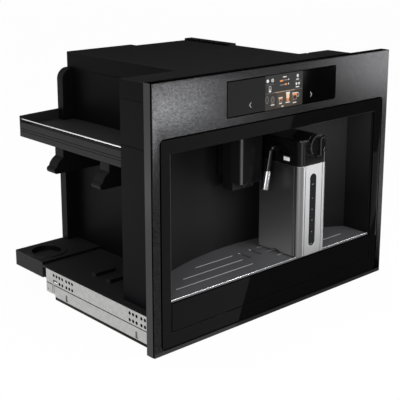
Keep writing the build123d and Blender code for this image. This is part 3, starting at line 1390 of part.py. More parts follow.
# knob: rimmed disc with an upright grip and a shaft in the drum
with BuildPart() as froth_knob:
    with BuildSketch(upright(CARAFE_FRONT - GAP)):
        with Locations((KNOB_X, KNOB_Z)):
            RegularPolygon(KNOB_R, 4 * FACETS)
    extrude(amount=KNOB_DISC)
    chamfer(froth_knob.faces().sort_by(Axis.Y)[0].edges(), SHEET)
    with BuildSketch(upright(CARAFE_FRONT - GAP - KNOB_DISC)):
        with Locations((KNOB_X, KNOB_Z)):
            RegularPolygon(KNOB_R - 3 * SHEET, ROUND)
            add(slot(KNOB_GRIP_L, KNOB_GRIP_W, 90), mode=Mode.SUBTRACT)
    extrude(amount=-SKIN, mode=Mode.SUBTRACT)
    with BuildSketch(upright(CARAFE_FRONT - GAP - KNOB_DISC)):
        with Locations((KNOB_X, KNOB_Z)):
            add(slot(KNOB_GRIP_L, KNOB_GRIP_W, 90))
    extrude(amount=CARAFE_FRONT - GAP - KNOB_DISC - KNOB_FRONT)
    chamfer(froth_knob.faces().sort_by(Axis.Y)[0].edges(), SHEET)
    with BuildSketch(upright(CARAFE_FRONT - GAP)):
        with Locations((KNOB_X, KNOB_Z)):
            Circle(KNOB_SHAFT_R)
    extrude(amount=-KNOB_SHAFT_L)
save(froth_knob, "froth_knob")

# milk pipe: out of the niche, over a bend and down to a thicker sleeved tip
with BuildPart() as milk_pipe:
    pipe_start = (CARAFE_LEFT + NICHE_D + PIPE_ROOT, PIPE_Y, PIPE_Z)
    pipe_knee = (CARAFE_LEFT - PIPE_OUT, PIPE_Y, PIPE_Z)
    pipe_tip = (PIPE_TIP_X, PIPE_Y, PIPE_TIP_Z)
    with BuildLine() as route:
        FilletPolyline(pipe_start, pipe_knee, pipe_tip, radius=PIPE_BEND)
    with BuildSketch(Plane(origin=pipe_start, z_dir=(-1, 0, 0))):
        RegularPolygon(PIPE_R - 2 * RUN_FIT, ROUND // 2)
    sweep(path=route.line)
    # the round journal that turns in the lid
    with BuildSketch(Plane(origin=pipe_start, z_dir=(-1, 0, 0))):
        Circle(PIPE_R)
    extrude(amount=PIPE_ROOT)
    drop = Vector(*pipe_tip) - Vector(*pipe_knee)
    sleeve_top = Vector(*pipe_tip) - drop.normalized() * SLEEVE_L
    with BuildSketch(Plane(origin=sleeve_top, z_dir=drop)):
        RegularPolygon(SLEEVE_R, 2 * FACETS)
    extrude(amount=SLEEVE_L)
    with BuildSketch(Plane(origin=pipe_tip, z_dir=-drop)):
        RegularPolygon(PIPE_BORE, FACETS)
    extrude(amount=SLEEVE_L, mode=Mode.SUBTRACT)
    # the stub that draws in air for the froth, on the side of the carafe
    stub_x = pipe_tip[0] + (INLET_STUB_Z - PIPE_TIP_Z) * (pipe_knee[0] - PIPE_TIP_X) / (
        PIPE_Z - PIPE_TIP_Z
    )
    with BuildSketch(sideways(stub_x)):
        with Locations((PIPE_Y, INLET_STUB_Z)):
            RegularPolygon(INLET_STUB_R, FACETS)
    extrude(amount=PIPE_R + INLET_STUB_L)
save(milk_pipe, "milk_pipe")

with BuildPart() as release_button:
    with BuildSketch(sideways(CARAFE_LEFT - BUTTON_OUT)):
        with Locations((BUTTON_Y, BUTTON_Z)):
            Rectangle(BUTTON_W, BUTTON_H)
    extrude(amount=BUTTON_D)
    chamfer(release_button.faces().sort_by(Axis.X)[0].edges(), BUTTON_OUT / 2)
save(release_button, "release_button")

# ================================================================ water tank on the right
TANK_IN = BODY_RIGHT + TANK_GAP
TANK_BOTTOM = DECK_Z + GAP
TANK_X = (TANK_IN + TANK_OUT) / 2
TANK_Y = (TANK_FRONT + TANK_BACK) / 2
TANK_W = TANK_OUT - TANK_IN
TANK_D = TANK_BACK - TANK_FRONT
LID_PIN_Z = TANK_TOP + GAP + TANK_LID_T / 2

with BuildPart() as water_tank:
    with BuildSketch(level(TANK_BOTTOM)):
        with Locations((TANK_X, TANK_Y)):
            RectangleRounded(TANK_W, TANK_D, TANK_R)
    extrude(amount=TANK_TOP - TANK_BOTTOM)
    offset(amount=-TANK_WALL, openings=water_tank.faces().sort_by(Axis.Z)[-1], mode=Mode.REPLACE)
    # lugs at both ends of the inner edge, for the lid's pins
    with BuildSketch(level(TANK_TOP)):
        with Locations((TANK_X, TANK_Y)):
            RectangleRounded(TANK_W, TANK_D, TANK_R)
        with Locations((TANK_IN, TANK_Y)):
            Rectangle(
                TANK_LID_T, TANK_D, align=(Align.MIN, Align.CENTER), mode=Mode.INTERSECT
            )
            Rectangle(
                TANK_LID_T,
                TANK_D - 2 * TANK_LUG_L,
                align=(Align.MIN, Align.CENTER),
                mode=Mode.SUBTRACT,
            )
    extrude(amount=GAP + TANK_LID_T)
    with BuildSketch(upright(TANK_Y)):
        with Locations((TANK_IN + TANK_LID_T / 2, LID_PIN_Z)):
            Circle(TANK_PIN_R + RUN_FIT)
    extrude(amount=TANK_D / 2 - TANK_LUG_L + TANK_PIN_L + GAP, both=True, mode=Mode.SUBTRACT)
    # bow handle on the outer face
    with BuildSketch(level(HANDLE_Z)):
        with Locations((TANK_OUT, TANK_Y)):
            Rectangle(HANDLE_OUT, HANDLE_L, align=(Align.MIN, Align.CENTER))
            Rectangle(
                HANDLE_OUT - HANDLE_T,
                HANDLE_L - 2 * HANDLE_T,
                align=(Align.MIN, Align.CENTER),
                mode=Mode.SUBTRACT,
            )
    extrude(amount=HANDLE_H)
    with BuildSketch(sideways(TANK_IN)):
        with Locations((TANK_Y, TANK_OUTLET_Z)):
            Circle(TANK_OUTLET_R - SHEET)
    extrude(amount=TANK_WALL, mode=Mode.SUBTRACT)
save(water_tank, "water_tank")

# tank lid: a flat cap, hinged along its inner edge on two pins
with BuildPart() as tank_lid:
    lug_sweep = TANK_LID_T / 2 * (1 + sqrt(2)) + GAP
    with BuildSketch(level(TANK_TOP + GAP)):
        with Locations((TANK_X, TANK_Y)):
            RectangleRounded(TANK_W, TANK_D, TANK_R)
        with Locations((TANK_IN, TANK_Y)):
            Rectangle(lug_sweep, TANK_D, align=(Align.MIN, Align.CENTER), mode=Mode.SUBTRACT)
        with Locations((TANK_IN + TANK_LID_T / 2, TANK_Y)):
            Rectangle(
                lug_sweep, TANK_D - 2 * TANK_LUG_L - 2 * GAP, align=(Align.MIN, Align.CENTER)
            )
    extrude(amount=TANK_LID_T)
    with BuildSketch(upright(TANK_Y)):
        with Locations((TANK_IN + TANK_LID_T / 2, LID_PIN_Z)):
            Circle(TANK_LID_T / 2)
    extrude(amount=TANK_D / 2 - TANK_LUG_L - GAP, both=True)
    with BuildSketch(upright(TANK_Y)):
        with Locations((TANK_IN + TANK_LID_T / 2, LID_PIN_Z)):
            Circle(TANK_PIN_R)
    extrude(amount=TANK_D / 2 - TANK_LUG_L + TANK_PIN_L, both=True)
    with BuildSketch(level(TANK_TOP + GAP + TANK_LID_T)):
        with Locations((TANK_X + TANK_W / 4, TANK_Y)):
            add(slot(TANK_W / 2, 4 * SHEET, 90))
    extrude(amount=-SHEET, mode=Mode.SUBTRACT)
save(tank_lid, "tank_lid")

# ================================================================ inside the body
# sheet-metal table that carries the works over the drawer channel
with BuildPart() as chassis_plate:
    inner_left = BODY_LEFT + SKIN
    inner_right = BODY_RIGHT - SKIN
    inner_back = BODY_BACK_RIGHT - SKIN
    with BuildSketch(level(CHASSIS_Z)):
        with Locations(((inner_left + inner_right) / 2, CHASSIS_FRONT)):
            Rectangle(
                inner_right - inner_left, inner_back - CHASSIS_FRONT, align=(Align.CENTER, Align.MIN)
            )
        with Locations((BREW_X, BREW_Y)):
            Rectangle(CHUTE_W, CHUTE_D, mode=Mode.SUBTRACT)
    extrude(amount=-SHEET)
    with BuildSketch(level(DECK_Z)):
        with Locations((inner_left, CHASSIS_FRONT)):
            Rectangle(SHEET, inner_back - CHASSIS_FRONT, align=(Align.MIN, Align.MIN))
        with Locations((inner_right, CHASSIS_FRONT)):
            Rectangle(SHEET, inner_back - CHASSIS_FRONT, align=(Align.MAX, Align.MIN))
    extrude(amount=CHASSIS_Z - SHEET - DECK_Z)
save(chassis_plate, "chassis_plate")

# brew unit: an upright frame with a round chamber, over the chute to the grounds container
BREW_CHAMBER_Z = CHASSIS_Z + BREW_H - PISTON_H - BREW_T
with BuildPart() as brew_unit:
    with BuildSketch(level(CHASSIS_Z)):
        with Locations((BREW_X, BREW_Y)):
            Rectangle(BREW_W + 2 * BREW_T, BREW_D + 2 * BREW_T)
            Rectangle(BREW_W, BREW_D, mode=Mode.SUBTRACT)
    extrude(amount=BREW_H)
    with BuildSketch(level(CHASSIS_Z + BREW_H / 4)):
        with Locations((BREW_X, BREW_Y)):
            Rectangle(BREW_W, BREW_D)
            Circle(PISTON_R + GAP, mode=Mode.SUBTRACT)
    extrude(amount=PISTON_H)
    with BuildSketch(upright(BREW_Y)):
        with Locations((BREW_X, CHASSIS_Z + BREW_H * 3 / 4)):
            Rectangle(BREW_W * 2 / 3, BREW_H / 4)
    extrude(amount=BREW_D, both=True, mode=Mode.SUBTRACT)
save(brew_unit, "brew_unit")

# piston that squeezes the coffee, with its threaded spindle
PISTON_Z = CHASSIS_Z + BREW_H / 4 + PISTON_H / 2
with BuildPart() as brew_piston:
    with BuildSketch(level(PISTON_Z)):
        with Locations((BREW_X, BREW_Y)):
            RegularPolygon(PISTON_R, ROUND)
    extrude(amount=PISTON_H)
    with BuildSketch(level(PISTON_Z + PISTON_H)):
        with Locations((BREW_X, BREW_Y)):
            RegularPolygon(PISTON_R / 4, FACETS)
    extrude(amount=PISTON_TRAVEL - SKIN)
save(brew_piston, "brew_piston")

# grinder: motor, burr case above it, and the toothed cone burr on the motor's shaft
BURR_CASE_Z = CHASSIS_Z + MOTOR_H
with BuildPart() as grinder_housing:
    with BuildSketch(level(CHASSIS_Z)):
        with Locations((GRINDER_X, GRINDER_Y)):
            RegularPolygon(MOTOR_R, ROUND)
    extrude(amount=MOTOR_H)
    with BuildSketch(level(BURR_CASE_Z)):
        with Locations((GRINDER_X, GRINDER_Y)):
            RegularPolygon(BURR_CASE_R, ROUND)
    extrude(amount=BURR_CASE_H)
    with BuildSketch(level(BURR_CASE_Z + BURR_CASE_H)):
        with Locations((GRINDER_X, GRINDER_Y)):
            RegularPolygon(BURR_R + 2, ROUND)
    extrude(amount=-(BURR_H + BURR_SHAFT_R), mode=Mode.SUBTRACT)
    with BuildSketch(level(BURR_CASE_Z + BURR_CASE_H)):
        with Locations((GRINDER_X, GRINDER_Y)):
            Circle(BURR_SHAFT_R + RUN_FIT)
    extrude(amount=-BURR_CASE_H, mode=Mode.SUBTRACT)
    # ground coffee leaves through a chute towards the brew unit
    with BuildSketch(sideways(GRINDER_X)):
        with Locations((GRINDER_Y, BURR_CASE_Z + BURR_CASE_H - BURR_H)):
            Rectangle(BURR_R / 2, BURR_R / 2)
    extrude(amount=-BURR_CASE_R, mode=Mode.SUBTRACT)
save(grinder_housing, "grinder_housing")

BURR_Z = BURR_CASE_Z + BURR_CASE_H - BURR_H
with BuildPart() as grinder_burr:
    with BuildSketch(level(BURR_Z)):
        with Locations((GRINDER_X, GRINDER_Y)):
            RegularPolygon(BURR_R, ROUND)
    extrude(amount=BURR_H - BURR_SHAFT_R)
    # bevelled down to a cone, then cut by the teeth
    chamfer(
        grinder_burr.faces().sort_by(Axis.Z)[-1].edges(),
        length=BURR_R / 2,
        length2=BURR_H - 2 * BURR_SHAFT_R,
        reference=grinder_burr.faces().sort_by(Axis.Z)[-1],
    )
    with BuildSketch(level(BURR_Z)):
        with Locations((GRINDER_X, GRINDER_Y)):
            with PolarLocations(BURR_R, BURR_TEETH):
                Rectangle(BURR_R / 2, BURR_R / 10)
    extrude(amount=BURR_H, mode=Mode.SUBTRACT)
    with BuildSketch(level(BURR_CASE_Z + GAP)):
        with Locations((GRINDER_X, GRINDER_Y)):
            Circle(BURR_SHAFT_R)
    extrude(amount=BURR_H + BURR_Z - BURR_CASE_Z - GAP)
save(grinder_burr, "grinder_burr")

# bean hopper: straight walls over a funnel that ends on the burr case
HOPPER_TOP = TOP_Z - TOP_T - SEAM
HOPPER_KNEE = HOPPER_TOP - HOPPER_WALL_H
HOPPER_BOTTOM = BURR_CASE_Z + BURR_CASE_H
FUNNEL_H = HOPPER_KNEE - HOPPER_BOTTOM
FUNNEL_MOUTH = BURR_R * 2


def funnel(inset, mouth):
    """Four flat sides from the hopper's walls, drawn in by inset, down to a square mouth."""
    wide, deep = HOPPER_W - 2 * inset, HOPPER_D - 2 * inset
    with Locations((GRINDER_X, GRINDER_Y, HOPPER_KNEE)):
        return Wedge(
            wide,
            FUNNEL_H,
            deep,
            (wide - mouth) / 2,
            (deep - mouth) / 2,
            (wide + mouth) / 2,
            (deep + mouth) / 2,
            rotation=(-90, 0, 0),
            align=(Align.CENTER, Align.MIN, Align.CENTER),
            mode=Mode.PRIVATE,
        )


with BuildPart() as bean_hopper:
    with BuildSketch(level(HOPPER_KNEE)):
        with Locations((GRINDER_X, GRINDER_Y)):
            Rectangle(HOPPER_W, HOPPER_D)
    extrude(amount=HOPPER_TOP - HOPPER_KNEE)
    add(funnel(0, FUNNEL_MOUTH))
    with BuildSketch(level(HOPPER_KNEE)):
        with Locations((GRINDER_X, GRINDER_Y)):
            Rectangle(HOPPER_W - 2 * HOPPER_T, HOPPER_D - 2 * HOPPER_T)
    extrude(amount=HOPPER_TOP - HOPPER_KNEE, mode=Mode.SUBTRACT)
    add(funnel(HOPPER_T, FUNNEL_MOUTH - 3 * HOPPER_T), mode=Mode.SUBTRACT)
save(bean_hopper, "bean_hopper")

# boiler with a bevelled top and its two ports
with BuildPart() as boiler:
    with BuildSketch(level(CHASSIS_Z)):
        with Locations((BOILER_X, BOILER_Y)):
            RegularPolygon(BOILER_R, ROUND)
    extrude(amount=BOILER_H)
    chamfer(boiler.faces().sort_by(Axis.Z)[-1].edges(), BOILER_R / 4)
    with BuildSketch(level(CHASSIS_Z + BOILER_H)):
        with Locations((BOILER_X, BOILER_Y)):
            with GridLocations(BOILER_R / 2, 1, 2, 1):
                RegularPolygon(BOILER_R / 8, FACETS)
    extrude(amount=BOILER_R / 3)
save(boiler, "boiler")

# vibration pump lying on two saddle feet
with BuildPart() as water_pump:
    with BuildSketch(upright(PUMP_Y)):
        with Locations((PUMP_X, PUMP_Z)):
            RegularPolygon(PUMP_R, ROUND)
    extrude(amount=PUMP_L / 2, both=True)
    with BuildSketch(upright(PUMP_Y)):
        with Locations((PUMP_X, PUMP_Z)):
            RegularPolygon(PUMP_R / 3, FACETS)
    extrude(amount=PUMP_L * 2 / 3, both=True)
    with BuildSketch(level(CHASSIS_Z)):
        with Locations((PUMP_X, PUMP_Y)):
            with GridLocations(1, PUMP_L / 2, 1, 2):
                Rectangle(PUMP_R, PUMP_L / 8)
    extrude(amount=PUMP_Z - CHASSIS_Z)
save(water_pump, "water_pump")

# power board on the rear cover, with its relays and the mains filter
with BuildPart() as power_board:
    board_back = BODY_BACK - SKIN
    with BuildSketch(upright(board_back)):
        with Locations((POWER_X, POWER_Z + POWER_H / 2)):
            with GridLocations(POWER_W * 0.9, POWER_H * 0.85, 2, 2):
                RegularPolygon(3 * SHEET, FACETS)
    extrude(amount=4 * SHEET)
    with BuildSketch(upright(board_back - 4 * SHEET)):
        with Locations((POWER_X, POWER_Z + POWER_H / 2)):
            Rectangle(POWER_W, POWER_H)
    extrude(amount=BOARD_T)
    with BuildSketch(upright(board_back - 4 * SHEET - BOARD_T)):
        with Locations((POWER_X, POWER_Z + POWER_H / 3)):
            with GridLocations(POWER_W / 5, POWER_H / 3, 4, 2):
                Rectangle(POWER_W / 8, POWER_H / 6)
    extrude(amount=8 * BOARD_T)
save(power_board, "power_board")

# mains inlet: a flanged box in the rear cover with the socket's recess and three pins
with BuildPart() as mains_inlet:
    with BuildSketch(upright(BODY_BACK_RIGHT)):
        with Locations((INLET_X, INLET_Z)):
            Rectangle(INLET_W, INLET_H)
    extrude(amount=INLET_D)
    with BuildSketch(upright(BODY_BACK_RIGHT)):
        with Locations((INLET_X, INLET_Z)):
            Rectangle(INLET_W + 4 * SKIN, INLET_H + 2 * SKIN)
    extrude(amount=-SHEET)
    with BuildSketch(upright(BODY_BACK_RIGHT + SHEET)):
        with Locations((INLET_X, INLET_Z)):
            RectangleRounded(INLET_W - 2 * SHEET, INLET_H - 2 * SHEET, DISPLAY_R)
    extrude(amount=INLET_D / 2, mode=Mode.SUBTRACT)
    with BuildSketch(upright(BODY_BACK_RIGHT + SHEET - INLET_D / 2)):
        with Locations((INLET_X, INLET_Z)):
            with GridLocations(INLET_W / 4, 1, 3, 1):
                Rectangle(SHEET, 2 * SHEET)
    extrude(amount=-INLET_D / 3)
save(mains_inlet, "mains_inlet")

# rocker of the main switch: two faces that meet at a low ridge, on two pins in the cover
with BuildPart() as main_switch:
    with BuildSketch(sideways(SWITCH_X - SWITCH_W / 2)):
        with BuildLine():
            Polyline(
                (SWITCH_Y - SWITCH_IN, INLET_Z - SWITCH_H / 4),
                (SWITCH_Y + SKIN / 2, INLET_Z - SWITCH_H / 2),
                (SWITCH_Y + SKIN, INLET_Z),
                (SWITCH_Y + SKIN / 2, INLET_Z + SWITCH_H / 2),
                (SWITCH_Y - SWITCH_IN, INLET_Z + SWITCH_H / 4),
                close=True,
            )
        make_face()
    extrude(amount=SWITCH_W)
    with BuildSketch(sideways(SWITCH_X)):
        with Locations((SWITCH_Y, INLET_Z)):
            Circle(SWITCH_PIN_R)
    extrude(amount=SWITCH_W / 2 + SEAM + SWITCH_PIN_L, both=True)
save(main_switch, "main_switch")
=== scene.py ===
# %% [markdown]
# A built-in coffee machine, dressed for a studio picture. The solids come from a CAD model: every
# sheet, moulding, drawer and lid is already in place and in metres. What is left is what the eye
# judges: how each finish takes the light, the small radii that catch it, and the thin things that a
# solid model leaves out, such as the picture on the display.

# %% Load the solids
import json
import math

import bmesh
import bpy
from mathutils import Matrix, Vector


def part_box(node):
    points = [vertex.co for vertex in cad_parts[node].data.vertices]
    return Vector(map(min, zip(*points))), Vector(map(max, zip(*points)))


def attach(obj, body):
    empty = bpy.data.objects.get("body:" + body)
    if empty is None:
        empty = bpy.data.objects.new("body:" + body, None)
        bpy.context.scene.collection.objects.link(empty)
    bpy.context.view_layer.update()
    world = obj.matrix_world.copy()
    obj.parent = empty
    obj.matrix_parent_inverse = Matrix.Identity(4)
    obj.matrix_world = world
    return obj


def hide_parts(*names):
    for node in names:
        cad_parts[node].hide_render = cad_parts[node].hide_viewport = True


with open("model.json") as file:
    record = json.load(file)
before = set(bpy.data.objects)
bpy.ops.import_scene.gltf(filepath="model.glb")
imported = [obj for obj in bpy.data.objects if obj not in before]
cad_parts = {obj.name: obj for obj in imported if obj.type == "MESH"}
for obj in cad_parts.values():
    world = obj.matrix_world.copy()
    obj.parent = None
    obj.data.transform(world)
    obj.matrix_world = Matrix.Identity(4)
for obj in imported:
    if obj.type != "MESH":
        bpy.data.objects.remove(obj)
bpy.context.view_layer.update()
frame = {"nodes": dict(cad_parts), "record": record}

# %% [markdown]
# A material is written from three plain facts: its colour as a hex code from a paint card, whether
# it is a metal, and how rough its surface was left. Colour codes are sRGB, which is stepped for the
# eye, and the shader wants linear light, so one function turns the code round. All else, such as
# grain, is a few nodes, and one small function adds any node with its settings and links.

# %% Colours, nodes and materials
def linear(code):
    """An sRGB hex code as the shader's linear red, green, blue and alpha."""
    parts = [int(code[i:i + 2], 16) / 255 for i in (1, 3, 5)]
    return [c / 12.92 if c <= 0.04045 else ((c + 0.055) / 1.055) ** 2.4 for c in parts] + [1.0]


def add_node(tree, kind, values=None, links=None, **settings):
    """A node of one kind, with its settings, typed-in values and links from other sockets."""
    node = tree.nodes.new(kind)
    for name, value in settings.items():
        setattr(node, name, value)
    for name, value in (values or {}).items():
        node.inputs[name].default_value = value
    for name, socket in (links or {}).items():
        tree.links.new(socket, node.inputs[name])
    return node


def finish(name, colour, roughness, **sockets):
    """A new material; sockets are named as on the shader, with _ for a space."""
    made = bpy.data.materials.new(name)
    made.use_nodes = True
    shader = made.node_tree.nodes["Principled BSDF"]
    shader.inputs["Base Color"].default_value = linear(colour)
    shader.inputs["Roughness"].default_value = roughness
    for socket, value in sockets.items():
        shader.inputs[socket.replace("_", " ")].default_value = value
    made.diffuse_color = linear(colour)
    return made


print("a middle grey in linear light:", round(linear("#808080")[0], 3))

# %% [markdown]
# Grain, brushing and clouds of tone all start as one noise. It reads the solid's own coordinates,
# so it stays on a piece that slides or turns. Its scale counts the clouds in a metre: 330 draws
# them 3 mm wide. The noise then tilts the surface as relief, or picks a tone between two hex codes.
# Where a finish changes slowly along a piece, the place along an axis picks the tone instead.

# %% Patterns: relief and tone
def object_noise(tree, scale, detail=1.0, stretch=(1, 1, 1), slant=0.0):
    """Noise fixed to the solid, stretched along axes and slanted in the plane of the front."""
    place = add_node(tree, "ShaderNodeTexCoord")
    turned = add_node(tree, "ShaderNodeMapping", {"Scale": stretch, "Rotation": (0, slant, 0)},
                      {"Vector": place.outputs["Object"]})
    noise = add_node(tree, "ShaderNodeTexNoise",
                     {"Scale": scale, "Detail": detail, "Roughness": 0.6},
                     {"Vector": turned.outputs["Vector"]})
    return noise.outputs["Fac"]


def along(tree, axis, start, end):
    """How far a point lies along an axis, from 0 at the start to 1 at the end."""
    place = add_node(tree, "ShaderNodeTexCoord")
    axes = add_node(tree, "ShaderNodeSeparateXYZ", links={"Vector": place.outputs["Object"]})
    share = add_node(tree, "ShaderNodeMapRange", {"From Min": start, "From Max": end},
                     {"Value": axes.outputs[axis]})
    return share.outputs["Result"]


def two_tone(tree, amount, low, high, ends=(0.0, 1.0)):
    """A colour that runs from one hex code to the other while the amount passes the two ends."""
    ramp = add_node(tree, "ShaderNodeValToRGB", links={"Fac": amount})
    for stop, end, code in zip(ramp.color_ramp.elements, ends, (low, high)):
        stop.position, stop.color = end, linear(code)
    return ramp.outputs["Color"]


def coloured(tree, colour):
    """The shader takes its colour from a socket."""
    tree.links.new(colour, tree.nodes["Principled BSDF"].inputs["Base Color"])


def relief(tree, noise, height):
    """The noise as relief of a height in metres."""
    bump = add_node(tree, "ShaderNodeBump", {"Strength": 1.0, "Distance": height},
                    {"Height": noise})
    tree.links.new(bump.outputs["Normal"], tree.nodes["Principled BSDF"].inputs["Normal"])


CLOUD_ENDS = (0.35, 0.65)   # where most of a noise's values lie


def grain(coat, scale, height, stretch=(1, 1, 1)):
    """A fine relief all over a finish."""
    relief(coat.node_tree, object_noise(coat.node_tree, scale, stretch=stretch), height)


def mottle(coat, scale, low, high, detail=1.0):
    """Faint clouds of tone all over a finish."""
    noise = object_noise(coat.node_tree, scale, detail)
    coloured(coat.node_tree, two_tone(coat.node_tree, noise, low, high, CLOUD_ENDS))


print("clouds of 3 mm:", round(1 / 0.003), "in a metre")

# %% [markdown]
# The front is stainless steel with a dark oxide coat, sanded in every direction. It shows as short
# slanting strokes, three millimetres long, that catch the light inside the highlight. One noise,
# squeezed and slanted, gives them twice: as a shallow relief that tilts the surface, and as the
# oxide's depth of colour, which keeps them visible from a step away. Real sanding is finer than a
# pixel, so the strokes are drawn coarse enough to show.

# %% Dark sanded steel of the front
STROKES = 330.0      # strokes in a metre, 3 mm apart
SQUEEZE = (1, 1, 1.7)
SLANT = math.radians(28)

# A dark metal that still throws a soft image of a lamp, broken up by the strokes.
dark_steel = finish("blackened steel, sanded", "#242425", 0.22, Metallic=1.0)
tree = dark_steel.node_tree
strokes = object_noise(tree, STROKES, 1.5, SQUEEZE, SLANT)
coloured(tree, two_tone(tree, strokes, "#1c1c1d", "#2c2c2d", CLOUD_ENDS))
relief(tree, strokes, 0.00004)
# The folded sides are a lighter, duller copy of the face's steel: painted light on the lit returns.
return_steel_painted_light = finish("blackened steel, folded returns, painted light", "#3e3e3f", 0.3, Metallic=1.0)
print(dark_steel.name, "/", return_steel_painted_light.name)

# %% [markdown]
# The glasses are clear sheets with black print behind them. Printed glass is darker than a lacquer:
# only its first face shines, so its specular level is low and its roughness nearly none. Light that
# enters the sheet is lost at a printed edge and comes out at a ground one.

# %% Glass and its edges
# Deep black with a sharp, faint mirror image.
printed_glass = finish("float glass, printed black", "#090909", 0.03, Specular_IOR_Level=0.055)
# The same over a dark screen: hardly any colour, and a clearer mirror image.
screen_glass = finish("display glass", "#030303", 0.04, Specular_IOR_Level=0.15)
# The display's cover mirrors most of the three, so it stands out from the steel round it.
cover_glass = finish("display cover glass, printed black", "#030303", 0.05, Specular_IOR_Level=0.2)
# A thin joint that light doesn't leave again: no colour and no gloss.
glass_seam = finish("glass edge, printed black, in shadow", "#000000", 1.0, Specular_IOR_Level=0.0)
# Ground glass scatters light, so the edge shows as a pale grey line; as it is given only on the
# left, that pale grey is also a painted highlight.
ground_edge_and_painted_highlight = finish("glass edge, ground, painted highlight", "#3c3d3e", 0.5, Specular_IOR_Level=0.2)
print(printed_glass.name, "/", glass_seam.name, "/", ground_edge_and_painted_highlight.name)

# %% [markdown]
# The mouldings are ABS and nylon. Where the tool was left with a spark texture they are satin or
# dull, and where it was polished they are glossy. The texture's grains are a tenth of a millimetre
# wide, too fine for a picture of this size, so the relief draws them at 0.6 mm.

# %% Mouldings
SPARK = 1600.0       # grains of tool texture in a metre, 0.6 mm wide

# A soft wide highlight without a mirror image.
black_mould = finish("ABS, moulded, satin black", "#151516", 0.45, Specular_IOR_Level=0.12)
grain(black_mould, SPARK, 0.00004)
# The same texture in charcoal, so the tray and the shelf stand out from the covers.
tray_mould = finish("ABS, moulded, charcoal", "#1e1e1f", 0.5, Specular_IOR_Level=0.12)
grain(tray_mould, SPARK, 0.00002)
# Glass-filled nylon takes little shine: hooks and struts look almost flat black.
# The same dull black is painted shade in the rails' groove and holes and on the tray's fronts and
# pocket wall.
dull_black_and_painted_shade = finish("nylon, moulded, dull black, and painted shade", "#0b0b0c", 0.4, Specular_IOR_Level=0.06)
grain(dull_black_and_painted_shade, SPARK, 0.00002)
# The carafe's lid and knob mirror the lamps as sharp white marks.
gloss_mould = finish("ABS, polished black", "#0b0b0c", 0.1, Specular_IOR_Level=0.5)
# The spout mirrors them too, but blurred and weaker.
half_gloss = finish("ABS, moulded, half gloss", "#0e0e0f", 0.16, Specular_IOR_Level=0.05)
# The pipe comes off a plainer tool, so one softer line of light runs down each bend.
pipe_mould = finish("ABS, polished black, pipe", "#0c0c0d", 0.16, Specular_IOR_Level=0.2)
print(black_mould.name, "/", dull_black_and_painted_shade.name, "/", gloss_mould.name)

# %% [markdown]
# The covers are painted sheet steel. A powder coat leaves an orange peel about a millimetre wide,
# an enamel a shallower one, and a primer is thin and dull. All three are black with a low specular
# level, and the relief breaks up their highlight.

# %% Painted sheet steel
PEEL = 1100.0        # waves of orange peel in a metre, 0.9 mm wide

# Rough and dark: only a bright lamp shows on it.
cover_paint = finish("sheet steel, powder coated black", "#08080a", 0.5, Specular_IOR_Level=0.045)
grain(cover_paint, PEEL, 0.00004)
# The top is enamelled, a little lighter, so its far edge stands off the background.
housing_paint = finish("sheet steel, enamelled black", "#111112", 0.4, Specular_IOR_Level=0.06)
grain(housing_paint, PEEL, 0.00002)
# The sides are only primed and nearly swallow the light.
# On the top cover's left face the same paint is painted shade.
primer_and_painted_shade = finish("sheet steel, primed black, dull, and painted shade", "#080809", 0.42, Specular_IOR_Level=0.035)
grain(primer_and_painted_shade, PEEL, 0.00002)
# The grille's coat is grey and half matt, so the slots in it read as dark lines.
grille_coat = finish("steel grille, anthracite coat", "#555557", 0.36, Specular_IOR_Level=0.4)
grain(grille_coat, PEEL, 0.00002)
print(cover_paint.name, "/", housing_paint.name, "/", primer_and_painted_shade.name)

# %% [markdown]
# The walls of the alcove are lacquered graphite. Light enters the niche from the front and right,
# so the lacquer looks darker under the ceiling on the left and lighter up the right side. No lamp
# reaches so deep without flattening the rest, so this shade and light are painted into the tone as
# it runs up the wall: painted shade on the left half, darker towards the ceiling, and painted light
# on the right half, lighter towards the top, mixed across the middle.

# %% Lacquer of the alcove, with painted shade and light
TONE_FOOT, TONE_HEAD = 0.16, 0.33    # heights between which the tone changes
LEFT_END, RIGHT_END = 0.0, 0.12      # where the left pair of tones gives way to the right one

# Dark grey with a soft sheen, which shows the curve of the back wall.
alcove_painted_shade_and_light = finish("sheet steel, graphite lacquer, painted shade and light", "#131314", 0.38, Specular_IOR_Level=0.08)
tree = alcove_painted_shade_and_light.node_tree
# Painted shade and light: the left pair of tones darkens towards the ceiling, the right pair
# lightens upwards.
rise = along(tree, "Z", TONE_FOOT, TONE_HEAD)
across = add_node(tree, "ShaderNodeMixRGB", links={
    "Fac": along(tree, "X", LEFT_END, RIGHT_END),
    "Color1": two_tone(tree, rise, "#171718", "#050505"),
    "Color2": two_tone(tree, rise, "#131314", "#2a2a2b")})
coloured(tree, across.outputs["Color"])
print(alcove_painted_shade_and_light.name, "graded from", TONE_FOOT, "to", TONE_HEAD)

# %% [markdown]
# Bare and plated metals keep the shader's own IOR, and their colour is that of the mirror image.
# What tells them apart is how the surface was left: dipped in zinc, which clouds it, brushed
# upright, which stretches every highlight, or cast, which leaves it pebbled.

# %% Bare and plated metals
BRUSH_LINES = 900.0       # lines in a metre; real ones are finer and wouldn't show
UPRIGHT = (1, 1, 0.02)    # stretches the lines along the height

# Pale, even grey with faint clouds, 7 mm wide on the rails and 3 mm on the screws.
zinc_plate = finish("steel, zinc plated", "#b2b2b1", 0.36, Metallic=1.0)
mottle(zinc_plate, 140.0, "#adadac", "#b7b7b6")
screw_plate = finish("screw steel, zinc plated", "#c6c6c2", 0.28, Metallic=1.0)
mottle(screw_plate, 300.0, "#bfbfbb", "#cbcbc8")
# Painted shade: the inner members are made black, so they read dark behind the bracket's holes.
inner_rail_painted_shade = finish("steel, inner rail, black as painted shade", "#0a0a0b", 0.4, Specular_IOR_Level=0.15)
